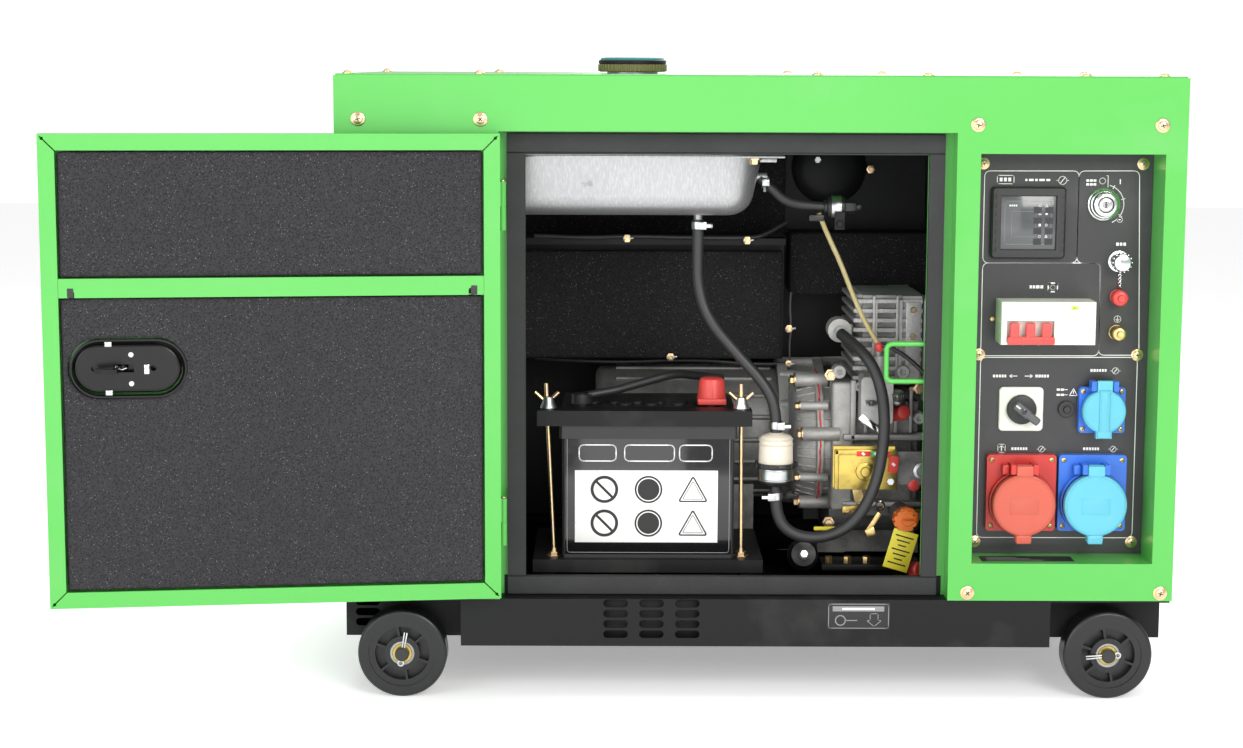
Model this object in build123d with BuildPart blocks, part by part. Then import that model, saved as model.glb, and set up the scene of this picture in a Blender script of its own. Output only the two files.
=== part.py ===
"""Standby generator in a sheet-steel cabinet on four wheels, millimetres, +Z up.

+X runs along the cabinet to the control end and -Y is the front, where the service door is. The origin is on the
floor under the middle of the cabinet. Door pieces are modelled shut, and are written swung open about the door hinge.
"""

import os
from math import cos, hypot, radians, sin, tan

from build123d import *

os.makedirs("parts", exist_ok=True)

# ---- driving sizes -------------------------------------------------------------------------------------------
length, depth, top_z = 950.0, 540.0, 709.0  # cabinet, and its height over the floor
skirt_z, base_z = 115.0, 60.0  # bottom edge of the green panels, and of the black base
sheet, base_sheet = 1.5, 2.5
edge_return = 25.0  # how far the front and rear frames fold back round the corners
front, rear, half = -depth / 2, depth / 2, length / 2
frame_top = top_z - sheet  # the lid lies on the frames' top returns
gap = 0.3  # between pieces that lie against each other

wheel_r, wheel_w, axle_r, running = 51.0, 32.0, 8.0, 0.05
axle_inset = 71.0  # axle centre from the end of the cabinet
axle_x = half - axle_inset
notch_l, notch_d = 135.0, 47.0  # the corners of the base that the wheels stand in

door_l, door_r, door_bottom, door_top = -283.0, 216.0, 121.0, 644.0  # the shut door's edges
door_t, door_rim = 21.0, 16.0
door_gap = 2.5  # round the door's free edges
hinge_x, knuckle_r, pin_r, knuckle_l = -287.5, 3.8, 2.0, 27.0
hinge_heights = (563.0, 205.0)  # where the door's knuckle meets the frame's, on each hinge
door_open = 173.0  # degrees, as the door stands at rest
recess_l, recess_r, recess_top = hinge_x - knuckle_r - 0.7, door_r + door_gap, door_top + 2.0
seal_w, seal_t = 17.0, 8.0
ledge_y = door_t + 1.0 + seal_t  # the face that the seal is stuck to, behind the front
ledge_w, ledge_top_w = 28.0, 24.5

bay_l, bay_r, bay_bottom, bay_top = 245.0, 451.0, 158.0, 623.0  # the control bay's mouth
bay_d, panel_t = 60.0, 2.0
bay_x = (bay_l + bay_r) / 2

screw_shank_r = 3.0
front_screws = [(-448, 659), (-312, 659), (241, 655), (446, 655), (241, 124), (461, 124)]
rear_screws = [(-448, 674), (0, 674), (446, 674), (-448, 124), (241, 124), (461, 124)]

latch_x, latch_z = 126.0, 388.0
latch_l, latch_h, latch_d = 116.0, 54.0, 18.0  # the pocket in the door
latch_pivot = (132.0, 9.0)  # x, and distance behind the front
striker_x, striker_y, striker_r, striker_h = 148.0, 36.0, 3.0, 43.0

crank_y, crank_z = 75.0, 257.0  # the shaft of the engine and the alternator, which runs along X


def behind(distance):
    """The y of a plane that far behind the cabinet's front face."""
    return front + distance


def facing(y):
    """A sketch plane seen from the front: local x is +X, local y is +Z, and extrude(amount=-t) goes inwards."""
    return Plane.XZ.offset(-y)


def seen_from_end(x):
    """A sketch plane across the cabinet's length: local x is +Y, local y is +Z, and a positive extrude goes to +X."""
    return Plane.YZ.offset(x)


door_hinge = Axis((hinge_x, front, 0), (0, 0, 1))


def write(part, name):
    """Labels one finished piece and writes it as its own STEP file."""
    part.label = name
    export_step(part, f"parts/{name}.step")


def write_on_door(part, name):
    """Writes a piece of the shut door where it is with the door swung open."""
    write(part.rotate(door_hinge, -door_open), name)


def joined(*parts):
    """Several finished parts as one piece with separate solids."""
    return Compound([solid for part in parts for solid in part.solids()])


def block(x0, x1, y0, y1, z0, z1, mode=Mode.ADD):
    """A box between two corners, added to the part that is being built."""
    with Locations(((x0 + x1) / 2, (y0 + y1) / 2, (z0 + z1) / 2)):
        Box(abs(x1 - x0), abs(y1 - y0), abs(z1 - z0), mode=mode)


def bar(start, end, radius, mode=Mode.ADD):
    """A round bar between two points, added to the part that is being built."""
    way = Vector(*end) - Vector(*start)
    with BuildSketch(Plane(origin=start, z_dir=way)) as section:
        Circle(radius)
    extrude(section.sketch, amount=way.length, mode=mode)


def rectangle(x0, x1, z0, z1, mode=Mode.ADD):
    """A rectangle between two corners, added to the sketch that is being drawn."""
    with Locations(((x0 + x1) / 2, (z0 + z1) / 2)):
        Rectangle(abs(x1 - x0), abs(z1 - z0), mode=mode)


def slot_field(x, z, columns, rows, pitch_x, pitch_z, slot_l, slot_h):
    """A field of air slots, cut from the sketch that is being drawn."""
    with Locations((x, z)):
        with GridLocations(pitch_x, pitch_z, columns, rows):
            SlotOverall(slot_l, slot_h, mode=Mode.SUBTRACT)


# ---- base ----------------------------------------------------------------------------------------------------
base_l, base_w = length - 4, depth - 4
flange_w = 60.0
sill_z = 137.0
axle_bracket_y = (70.0, depth - 70.0)
engine_bolt_x, engine_bolt_pitch, engine_bolt_y = 150.0, 90.0, 105.0

with BuildPart() as base_pan:
    with BuildSketch(Plane.XY.offset(base_z)):
        Rectangle(base_l, base_w)
        with GridLocations(base_l - notch_l, base_w - notch_d, 2, 2):
            Rectangle(notch_l + 2, notch_d + 2, mode=Mode.SUBTRACT)
    extrude(amount=skirt_z - base_z)
    offset(amount=-base_sheet, openings=base_pan.faces().sort_by(Axis.Z)[-1])
    # the flange round the top, which also roofs the wheel corners
    with BuildSketch(Plane.XY.offset(skirt_z - base_sheet)):
        Rectangle(base_l, base_w)
        Rectangle(base_l - 2 * flange_w, base_w - 2 * flange_w, mode=Mode.SUBTRACT)
    extrude(amount=base_sheet)
    # the sill that carries the bottom run of the door seal
    block(recess_l + 4, recess_r - 4, behind(ledge_y), behind(ledge_y + base_sheet), skirt_z - 1, sill_z)
    # tabs that the front and rear frames are screwed to
    for x0, x1 in ((-half + 5, recess_l - 3), (recess_r + 6, half - 5)):
        block(x0, x1, front + sheet, front + sheet + base_sheet, skirt_z - 1, skirt_z + 20)
        block(x0, x1, rear - sheet, rear - sheet - base_sheet, skirt_z - 1, skirt_z + 20)
    for screws, y in ((front_screws, front), (rear_screws, rear - 8)):
        for x, z in screws:
            if z < sill_z:
                bar((x, y, z), (x, y + 8, z), screw_shank_r + 0.2, mode=Mode.SUBTRACT)
    # cooling slots through the skirts, front and rear
    for x, rows_z in ((-119, 92), (119, 92)):
        with BuildSketch(facing(front if x < 0 else rear)) as slots:
            with Locations((x, rows_z)):
                with GridLocations(41, 12, 3, 4):
                    SlotOverall(28, 9)
        extrude(amount=-12 if x < 0 else 12, mode=Mode.SUBTRACT)
    # slots beside the front left wheel
    with BuildSketch(facing(behind(notch_d - 10))):
        with Locations((-448, 88)):
            with GridLocations(41, 12, 1, 3):
                SlotOverall(28, 9)
    extrude(amount=-20, mode=Mode.SUBTRACT)
    # plates that hold the axles under the floor
    for x in (-axle_x, axle_x):
        for y in axle_bracket_y:
            block(x - 20, x + 20, behind(y) - 5, behind(y) + 5, wheel_r - 16, base_z + 1)
            bar((x, behind(y) - 6, wheel_r), (x, behind(y) + 6, wheel_r), axle_r, mode=Mode.SUBTRACT)
    # holes for the engine's mounting bolts
    with BuildSketch(Plane.XY.offset(base_z - 1)):
        with Locations((engine_bolt_x, crank_y)):
            with GridLocations(engine_bolt_pitch, 2 * engine_bolt_y, 2, 2):
                Circle(5.5)
    extrude(amount=base_sheet + 2, mode=Mode.SUBTRACT)
write(base_pan.part, "base_pan")

# ---- wheels and axles ----------------------------------------------------------------------------------------
hub_r, web_in, web_out, pocket_d = 20.0, 20.0, 31.0, 11.0
washer_r, washer_t, hub_sink = 13.0, 2.5, 3.5
axle_end = 6.0  # how far an axle stands out of the wheels

with BuildPart() as wheel:
    with BuildSketch(Plane.XZ):
        Circle(wheel_r)
    extrude(amount=wheel_w / 2, both=True)
    fillet(wheel.edges().filter_by(GeomType.CIRCLE), radius=4.5)
    for side in (-1, 1):
        face_y = side * wheel_w / 2
        # a shallow step between tyre and rim, and the pocket between rim and hub with its six ribs
        with BuildSketch(facing(face_y)):
            Circle(38.5)
            Circle(hub_r, mode=Mode.SUBTRACT)
        extrude(amount=side * 1.2, mode=Mode.SUBTRACT)
        with BuildSketch(facing(face_y)):
            Circle(web_out)
            Circle(web_in, mode=Mode.SUBTRACT)
            with PolarLocations((web_in + web_out) / 2, 6, start_angle=40):
                Rectangle(web_out - web_in + 2, 2.6, mode=Mode.SUBTRACT)
        extrude(amount=side * pocket_d, mode=Mode.SUBTRACT)
        with BuildSketch(facing(face_y)):
            Circle(washer_r + 1)
        extrude(amount=side * hub_sink, mode=Mode.SUBTRACT)
    bar((0, -wheel_w, 0), (0, wheel_w, 0), axle_r + running, mode=Mode.SUBTRACT)
wheel_y = (front + wheel_w / 2, rear - wheel_w / 2)
for end, x in (("left", -axle_x), ("right", axle_x)):
    for side, y in (("front", wheel_y[0]), ("rear", wheel_y[1])):
        write(wheel.part.moved(Location((x, y, wheel_r))), f"wheel_{side}_{end}")

# each axle is a bar with a washer in each hub and a split pin through each end
with BuildPart() as axles:
    for x in (-axle_x, axle_x):
        bar((x, front - axle_end, wheel_r), (x, rear + axle_end, wheel_r), axle_r)
        for side, face in ((-1, front), (1, rear)):
            pin_y = face + side * 3.0
            bar((x, pin_y, wheel_r - 30), (x, pin_y, wheel_r + 30), 1.4, mode=Mode.SUBTRACT)
with BuildPart() as axle_trim:
    for x in (-axle_x, axle_x):
        for side, face in ((-1, front), (1, rear)):
            seat = face - side * (hub_sink - gap)
            bar((x, seat, wheel_r), (x, seat + side * washer_t, wheel_r), washer_r)
            bar((x, seat - 1, wheel_r), (x, seat + 5 * side, wheel_r), axle_r + 0.02, mode=Mode.SUBTRACT)
            bar((x, face + side * 3.0, wheel_r - 12), (x, face + side * 3.0, wheel_r + 27), 1.3)
write(joined(axles.part, axle_trim.part), "axles")

# ---- front frame ---------------------------------------------------------------------------------------------
hinge_web = 3.0  # thickness of the webs that carry the knuckles


def knuckle(z0, z1, wall_x, bore_r):
    """One hinge knuckle between two heights, with the web that joins it to a wall, added to the part being built."""
    bar((hinge_x, front, z0), (hinge_x, front, z1), knuckle_r)
    block(hinge_x, wall_x, front + 0.2, front + 0.2 + hinge_web, z0, z1)
    bar((hinge_x, front, z0 - 1), (hinge_x, front, z1 + 1), bore_r, mode=Mode.SUBTRACT)


with BuildPart() as front_frame:
    with BuildSketch(facing(front)):
        rectangle(-half, half, skirt_z, frame_top)
        rectangle(recess_l, recess_r, skirt_z - 1, recess_top, mode=Mode.SUBTRACT)
        rectangle(bay_l, bay_r, bay_bottom, bay_top, mode=Mode.SUBTRACT)
        slot_field((recess_l - half) / 2, 420, 2, 22, 56, 18, 46, 8)
    extrude(amount=-sheet)
    block(-half, -half + sheet, front, front + edge_return, skirt_z, frame_top)
    block(half - sheet, half, front, front + edge_return, skirt_z, frame_top)
    block(-half, half, front, front + edge_return, frame_top - sheet, frame_top)
    # the folded step that the door shuts into, and the ledge for its seal
    with BuildSketch(facing(front)):
        rectangle(recess_l - sheet, recess_r + sheet, skirt_z, recess_top + sheet)
        rectangle(recess_l, recess_r, skirt_z - 1, recess_top, mode=Mode.SUBTRACT)
    extrude(amount=-(ledge_y + sheet))
    with BuildSketch(facing(behind(ledge_y))):
        rectangle(recess_l - sheet, recess_r + sheet, skirt_z, recess_top + sheet)
        rectangle(recess_l + ledge_w, recess_r - ledge_w, skirt_z - 1, recess_top - ledge_top_w, mode=Mode.SUBTRACT)
        # clear of the sill
        rectangle(recess_l + 4 - gap, recess_r - 4 + gap, skirt_z - 1, sill_z + gap, mode=Mode.SUBTRACT)
    extrude(amount=-sheet)
    # the control bay's sleeve, and the ledge that its panel is screwed to
    with BuildSketch(facing(front)):
        rectangle(bay_l - sheet, bay_r + sheet, bay_bottom - sheet, bay_top + sheet)
        rectangle(bay_l, bay_r, bay_bottom, bay_top, mode=Mode.SUBTRACT)
    extrude(amount=-(bay_d + sheet))
    with BuildSketch(facing(behind(bay_d))):
        rectangle(bay_l, bay_r, bay_bottom, bay_top)
        rectangle(bay_l + 20, bay_r - 20, bay_bottom + 20, bay_top - 20, mode=Mode.SUBTRACT)
    extrude(amount=-sheet)
    for z in hinge_heights:
        knuckle(z - knuckle_l, z - gap, recess_l - sheet / 2, pin_r)
    with BuildSketch(facing(front - 1)):
        with Locations(*front_screws):
            Circle(screw_shank_r + 0.2)
    extrude(amount=-(sheet + 2), mode=Mode.SUBTRACT)
write(front_frame.part, "front_frame")

with BuildPart() as hinge_pins:
    for z in hinge_heights:
        bar((hinge_x, front, z - knuckle_l), (hinge_x, front, z + knuckle_l), pin_r)
        bar((hinge_x, front, z + knuckle_l + gap), (hinge_x, front, z + knuckle_l + 2), pin_r + 1.2)
        bar((hinge_x, front, z + knuckle_l - 1), (hinge_x, front, z + knuckle_l + 1), pin_r)

# the U-shaped rod that the latch hooks over
with BuildPart() as latch_striker:
    with BuildLine() as striker_path:
        FilletPolyline(
            (recess_r - 4, behind(striker_y), latch_z - 4 + striker_h / 2),
            (striker_x, behind(striker_y), latch_z - 4 + striker_h / 2),
            (striker_x, behind(striker_y), latch_z - 4 - striker_h / 2),
            (recess_r - 4, behind(striker_y), latch_z - 4 - striker_h / 2),
            radius=7,
        )
    with BuildSketch(Plane(origin=striker_path.line @ 0, z_dir=striker_path.line % 0)):
        Circle(striker_r)
    sweep()
    block(recess_r - 18, recess_r - 3, behind(ledge_y + sheet), behind(striker_y - 1),
          latch_z - 4 - striker_h / 2 - 8, latch_z - 4 + striker_h / 2 + 8)
write(latch_striker.part, "latch_striker")

# four runs of sponge rubber round the opening
seal_l, seal_r, seal_top = recess_l + 8, recess_r - 10, recess_top - 2
with BuildPart() as door_seal:
    seal_y = (behind(ledge_y - seal_t), behind(ledge_y))
    inner_l, inner_r, inner_top = recess_l + ledge_w - 0.5, recess_r - ledge_w + 0.5, recess_top - ledge_top_w + 0.5
    block(seal_l, seal_r, *seal_y, inner_top, seal_top)
    block(seal_l, inner_l, *seal_y, sill_z, inner_top - gap)
    block(inner_r, seal_r, *seal_y, sill_z, inner_top - gap)
    block(seal_l, seal_r, *seal_y, skirt_z + 0.5, sill_z - gap)
    fillet(door_seal.edges().filter_by(Axis.X).group_by(Axis.Y)[0], radius=2)
write(door_seal.part, "door_seal")

# ---- side, rear and top panels -------------------------------------------------------------------------------
side_y0, side_y1 = front + edge_return + 1, rear - edge_return - 1
tray_flange = 14.0
exhaust = (60.0, 610.0)  # y and z of the silencer's tail pipe on the right-hand end
exhaust_r = 19.0


def side_panel(sign, cut_air):
    """One end panel with folded edges. cut_air cuts its air openings from the sketch."""
    skin = sign * half - (sheet if sign > 0 else 0)
    inner = sign * (half - tray_flange)
    with BuildPart() as panel:
        with BuildSketch(seen_from_end(skin)):
            rectangle(side_y0, side_y1, skirt_z, frame_top - 2)
            cut_air()
        extrude(amount=sheet)
        with BuildSketch(seen_from_end(min(inner, sign * half))):
            rectangle(side_y0, side_y1, skirt_z, frame_top - 2)
            rectangle(side_y0 + sheet, side_y1 - sheet, skirt_z + sheet, frame_top - 2 - sheet, mode=Mode.SUBTRACT)
        extrude(amount=tray_flange)
    return panel.part


def intake_air():
    slot_field(0, 410, 4, 24, 84, 17, 70, 8)


def outlet_air():
    slot_field(-80, 330, 3, 16, 78, 17, 64, 8)
    with Locations(exhaust):
        Circle(exhaust_r + 6, mode=Mode.SUBTRACT)
    slot_field(-110, 600, 2, 6, 78, 17, 64, 8)


write(side_panel(-1, intake_air), "left_side_panel")
write(side_panel(1, outlet_air), "right_side_panel")

hatch_l, hatch_r, hatch_bottom, hatch_top = -300.0, 250.0, 170.0, 640.0
with BuildPart() as rear_panel:
    with BuildSketch(facing(rear - sheet)):
        rectangle(-half, half, skirt_z, frame_top)
        rectangle(hatch_l, hatch_r, hatch_bottom, hatch_top, mode=Mode.SUBTRACT)
        slot_field(365, 400, 2, 20, 72, 17, 60, 8)
        with Locations(*rear_screws):
            Circle(screw_shank_r + 0.2, mode=Mode.SUBTRACT)
    extrude(amount=-sheet)
    block(-half, -half + sheet, rear - edge_return, rear, skirt_z, frame_top)
    block(half - sheet, half, rear - edge_return, rear, skirt_z, frame_top)
    block(-half, half, rear - edge_return, rear, frame_top - sheet, frame_top)
write(rear_panel.part, "rear_panel")

hatch_lap, hatch_t = 17.0, 10.0
hatch_screws = [(x, z) for x in (hatch_l - 6, -25, hatch_r + 6) for z in (hatch_bottom - 7, hatch_top + 7)]
with BuildPart() as rear_hatch:
    with BuildSketch(facing(rear + gap)):
        rectangle(hatch_l - hatch_lap, hatch_r + hatch_lap, hatch_bottom - hatch_lap, hatch_top + hatch_lap)
        with Locations(*hatch_screws):
            Circle(screw_shank_r + 0.2, mode=Mode.SUBTRACT)
        slot_field(-150, 300, 2, 10, 84, 17, 70, 8)
        slot_field(110, 300, 2, 10, 84, 17, 70, 8)
    extrude(amount=-sheet)
    with BuildSketch(facing(rear + gap)):
        rectangle(hatch_l + 3, hatch_r - 3, hatch_bottom + 3, hatch_top - 3)
        rectangle(hatch_l + 3 + sheet, hatch_r - 3 - sheet, hatch_bottom + 3 + sheet, hatch_top - 3 - sheet,
                  mode=Mode.SUBTRACT)
    extrude(amount=hatch_t)
write(rear_hatch.part, "rear_hatch")

filler = (-142.0, behind(200))
neck_r, neck_wall, cap_r, cap_h = 30.0, 2.0, 41.0, 18.0
lid_inset = 2.0
top_screws = [(x, y) for y in (behind(40), rear - 40) for x in (-463, -315, 65, 190, 368, 456)]
with BuildPart() as top_cover:
    with BuildSketch(Plane.XY.offset(frame_top)):
        RectangleRounded(length - 2 * lid_inset, depth - 2 * lid_inset, 3)
        with Locations(*top_screws):
            Circle(screw_shank_r + 0.2, mode=Mode.SUBTRACT)
        with Locations(filler):
            Circle(neck_r + 5, mode=Mode.SUBTRACT)
    extrude(amount=sheet)
write(top_cover.part, "top_cover")


def screw(head_r, head_h, shank_l):
    """A flanged pan-head screw that points up, with the face that it clamps at z = 0."""
    with BuildPart() as one:
        bar((0, 0, 0.02), (0, 0, 1.3), head_r)
        with BuildSketch(Plane.XY.offset(1.3)) as head:
            Circle(head_r * 0.66)
        extrude(head.sketch, amount=head_h, taper=12)
        with BuildSketch(Plane.XY.offset(1.3 + head_h)) as cross:
            SlotOverall(head_r * 0.75, head_r * 0.17)
            SlotOverall(head_r * 0.75, head_r * 0.17, rotation=90)
        extrude(cross.sketch, amount=-head_h * 0.5, mode=Mode.SUBTRACT)
        bar((0, 0, -shank_l), (0, 0, 1), screw_shank_r)
    return one.part


def placed(part, spots, outward):
    """Copies of a part that points up, each set at its spot and turned to point outward."""
    return [Plane(origin=spot, z_dir=outward).location * part for spot in spots]


panel_screws = [(bay_x + sx * 91, z) for z in (610, 391, 172) for sx in (-1, 1)]
face_y = behind(bay_d - panel_t)
sheet_screw, lid_screw, panel_screw = screw(8.0, 3.6, 1.5), screw(6.5, 3.2, 1.5), screw(7.0, 3.2, panel_t)
screws = [
    *placed(sheet_screw, [(x, front, z) for x, z in front_screws], (0, -1, 0)),
    *placed(sheet_screw, [(x, rear, z) for x, z in rear_screws], (0, 1, 0)),
    *placed(sheet_screw, [(x, rear + gap + sheet, z) for x, z in hatch_screws], (0, 1, 0)),
    *placed(lid_screw, [(x, y, top_z) for x, y in top_screws], (0, 0, 1)),
    *placed(panel_screw, [(x, face_y, z) for x, z in panel_screws], (0, -1, 0)),
]
write(joined(hinge_pins.part, *screws), "cabinet_fixings")

# ---- service door --------------------------------------------------------------------------------------------
bar_z0, bar_z1 = 466.0, 487.0  # the stiffener across the door
foam_front = door_t - 1.5
foam_inset = door_rim + 3

with BuildPart() as door_shell:
    with BuildSketch(facing(front)):
        rectangle(door_l, door_r, door_bottom, door_top)
        with Locations((latch_x, latch_z)):
            SlotOverall(latch_l + 1, latch_h + 1, mode=Mode.SUBTRACT)
    extrude(amount=-sheet)
    with BuildSketch(facing(front)):
        rectangle(door_l, door_r, door_bottom, door_top)
        rectangle(door_l + sheet, door_r - sheet, door_bottom + sheet, door_top - sheet, mode=Mode.SUBTRACT)
    extrude(amount=-door_t)
    with BuildSketch(facing(behind(door_t))):
        rectangle(door_l, door_r, door_bottom, door_top)
        rectangle(door_l + door_rim + 2, door_r - door_rim - 2, door_bottom + door_rim + 2, door_top - door_rim - 2,
                  mode=Mode.SUBTRACT)
        # slits where the folds meet at the corners
        for x, turn in ((door_l, 1), (door_r, -1)):
            for z, side in ((door_bottom, 1), (door_top, -1)):
                with Locations((x + turn * 11, z + side * 11)):
                    SlotOverall(24, 1.4, rotation=45 * turn * side, mode=Mode.SUBTRACT)
                with Locations((x + turn * 5, z + side * 5)):
                    Circle(1.8, mode=Mode.SUBTRACT)
    extrude(amount=sheet)
    for z in hinge_heights:
        knuckle(z, z + knuckle_l, door_l + sheet / 2, pin_r + running)

with BuildPart() as door_stiffener:
    bar_x0, bar_x1 = door_l + door_rim + 2.3, door_r - door_rim - 2.3
    block(bar_x0, bar_x1, behind(sheet), behind(door_t), bar_z0, bar_z1)
    block(bar_x0 - 1, bar_x1 + 1, behind(0), behind(door_t - sheet), bar_z0 + sheet, bar_z1 - sheet,
          mode=Mode.SUBTRACT)
    with BuildSketch(facing(behind(door_t - 3))):
        for x in (bar_x0 + 14, bar_x1 - 14):
            with Locations((x, bar_z0)):
                SlotOverall(16, 6, rotation=90)
    extrude(amount=-6, mode=Mode.SUBTRACT)
write_on_door(joined(door_shell.part, door_stiffener.part), "door_shell")

with BuildPart() as door_foam_upper:
    block(door_l + foam_inset, door_r - foam_inset, behind(sheet), behind(foam_front),
          bar_z1 + 0.5, door_top - foam_inset)
write_on_door(door_foam_upper.part, "door_foam_upper")

with BuildPart() as door_foam_lower:
    with BuildSketch(facing(behind(sheet))):
        rectangle(door_l + foam_inset, door_r - foam_inset, door_bottom + foam_inset, bar_z0 - 0.5)
        with Locations((latch_x, latch_z)):
            SlotOverall(latch_l + 12, latch_h + 12, mode=Mode.SUBTRACT)
    extrude(amount=-(foam_front - sheet))
write_on_door(door_foam_lower.part, "door_foam_lower")

# the oval pocket that the handle lies in, let through the door and flanged on the outside
pivot_x, pivot_d = latch_pivot
pivot_pin_r, pocket_wall = 2.5, 1.8
with BuildPart() as latch_pocket:
    with BuildSketch(facing(front)):
        with Locations((latch_x, latch_z)):
            SlotOverall(latch_l, latch_h)
    extrude(amount=-latch_d)
    fillet(latch_pocket.edges().group_by(Axis.Y)[-1], radius=4)
    with BuildSketch(facing(front)):
        with Locations((latch_x, latch_z)):
            SlotOverall(latch_l + 10, latch_h + 10)
    extrude(amount=1.5)
    with BuildSketch(facing(front - 1.5)):
        with Locations((latch_x, latch_z)):
            SlotOverall(latch_l - 2 * pocket_wall, latch_h - 2 * pocket_wall)
    extrude(amount=-(latch_d + 1.5 - pocket_wall), mode=Mode.SUBTRACT)
    # the slot that the hook comes through, and two fixing holes
    block(pivot_x - 13, pivot_x + 9, behind(latch_d - 4), behind(latch_d + 1), latch_z - 4.5, latch_z + 4.5,
          mode=Mode.SUBTRACT)
    for x in (pivot_x - 34, pivot_x + 30):
        bar((x, behind(latch_d - 4), latch_z), (x, behind(latch_d + 1), latch_z), 3.2, mode=Mode.SUBTRACT)
    # the plate beside the handle, with the boss of its lock
    with BuildSketch(facing(behind(1.2))):
        with Locations((latch_x, latch_z)):
            SlotOverall(latch_l - pocket_wall, latch_h - pocket_wall)
        rectangle(latch_x - latch_l, pivot_x + 14.5, latch_z - latch_h, latch_z + latch_h, mode=Mode.SUBTRACT)
    extrude(amount=-2)
    bar((pivot_x + 28, front + 0.5, latch_z), (pivot_x + 28, behind(12), latch_z), 8)
    bar((pivot_x, behind(pivot_d), latch_z - latch_h / 2 + 1), (pivot_x, behind(pivot_d), latch_z + latch_h / 2 - 1),
        pivot_pin_r)
write_on_door(latch_pocket.part, "latch_pocket")

with BuildPart() as latch_handle:
    with BuildSketch(facing(behind(1))):
        with Locations((latch_x, latch_z)):
            SlotOverall(latch_l - 2 * pocket_wall - 2, latch_h - 2 * pocket_wall - 2)
        rectangle(pivot_x + 11, latch_x + latch_l, latch_z - latch_h, latch_z + latch_h, mode=Mode.SUBTRACT)
    extrude(amount=-2.4)
    for z in (-18, 18):
        block(pivot_x - 5, pivot_x + 5, behind(2), behind(pivot_d + 4), latch_z + z - 1.5, latch_z + z + 1.5)
        bar((pivot_x, behind(pivot_d), latch_z + z - 3), (pivot_x, behind(pivot_d), latch_z + z + 3),
            pivot_pin_r + running, mode=Mode.SUBTRACT)

hook_r, hook_t = 34.8, 5.0  # the claw's inside face swings round the handle's pivot
with BuildPart() as latch_hook:
    with BuildSketch(Plane(origin=(pivot_x, behind(pivot_d), latch_z - hook_t / 2))):
        with BuildLine():
            PolarLine((0, 0), hook_r + 6, 46)
            PolarLine((0, 0), hook_r + 6, 86)
            CenterArc((0, 0), hook_r + 6, 46, 40)
        make_face()
        with BuildLine():
            PolarLine((0, 0), hook_r, 30)
            PolarLine((0, 0), hook_r, 75)
            CenterArc((0, 0), hook_r, 30, 45)
        make_face(mode=Mode.SUBTRACT)
        Circle(5.5)
        with Locations((0, -3.0)):
            Rectangle(8, 5)
        Circle(pivot_pin_r + running, mode=Mode.SUBTRACT)
    extrude(amount=hook_t)
write_on_door(joined(latch_handle.part, latch_hook.part), "latch_handle")

# ---- control panel -------------------------------------------------------------------------------------------
face = bay_d - panel_t  # the panel's front face, behind the cabinet's front

meter_x, meter_z, meter_w, meter_h = 308.5, 543.0, 85.0, 82.0
key_x, key_z, key_r = 395.0, 564.0, 19.0
link_x, link_z, link_r = 414.0, 499.0, 11.0
stud_z, stud_r = 458.0, 9.0
earth_z = 417.0
breaker_x, breaker_z, breaker_w, breaker_h, breaker_d = 328.5, 431.5, 107.0, 49.0, 42.0
dial_x, dial_z, dial_w = 306.5, 328.0, 51.0
reset_x, reset_z, reset_r = 359.0, 328.0, 9.5
plug_x, plug_z, plug_w = 398.5, 328.0, 53.0
three_phase_x, one_phase_x, cee_z, cee_w, cee_h = 307.5, 389.5, 231.5, 80.0, 89.0
cee_lid_z, cee_lid_r, cee_bore_r = 221.0, 36.0, 27.0
bush_clear = 0.2

with BuildPart() as control_panel:
    block(bay_l + gap, bay_r - gap, behind(face), behind(bay_d), bay_bottom + gap, bay_top - gap)
    with BuildSketch(facing(behind(face))):
        rectangle(meter_x - 36, meter_x + 36, meter_z - 35, meter_z + 35)
        rectangle(breaker_x - 49, breaker_x + 49, breaker_z - 21, breaker_z + 21)
        for x, z, r in ((key_x, key_z, 11), (link_x, link_z, 8), (link_x, stud_z, 4), (link_x, earth_z, 4),
                        (dial_x, dial_z, 14), (reset_x, reset_z, 6), (plug_x, plug_z, 21),
                        (three_phase_x, cee_lid_z, 31), (one_phase_x, cee_lid_z, 31)):
            with Locations((x, z)):
                Circle(r + bush_clear)
        with Locations(*panel_screws):
            Circle(screw_shank_r + 0.2)
    extrude(amount=-panel_t, mode=Mode.SUBTRACT)
write(control_panel.part, "control_panel")

with BuildPart() as controller:
    with BuildSketch(facing(behind(face))):
        with Locations((meter_x, meter_z)):
            RectangleRounded(meter_w, meter_h, 5)
    extrude(amount=9)
    chamfer(controller.faces().sort_by(Axis.Y)[0].edges(), length=2)
    block(meter_x - 32, meter_x + 32, behind(face - 10), behind(face - 6), meter_z - 31, meter_z + 31,
          mode=Mode.SUBTRACT)
    block(meter_x - 35, meter_x + 35, behind(face - 1), behind(face + 38), meter_z - 34, meter_z + 34)
    # the buttons' pads, and ribs down both sides of the bezel
    for row in range(4):
        for column in range(2):
            block(meter_x + 6 + 13 * column, meter_x + 15 + 13 * column, behind(face - 7), behind(face - 5),
                  meter_z - 25 + 12 * row, meter_z - 18 + 12 * row)
    for side in (-1, 1):
        for row in range(7):
            z = meter_z - 30 + 10 * row
            block(meter_x + side * 37, meter_x + side * 40.5, behind(face - 9.8), behind(face - 8), z - 2.5, z + 2.5,
                  mode=Mode.SUBTRACT)
write(controller.part, "controller")

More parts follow.
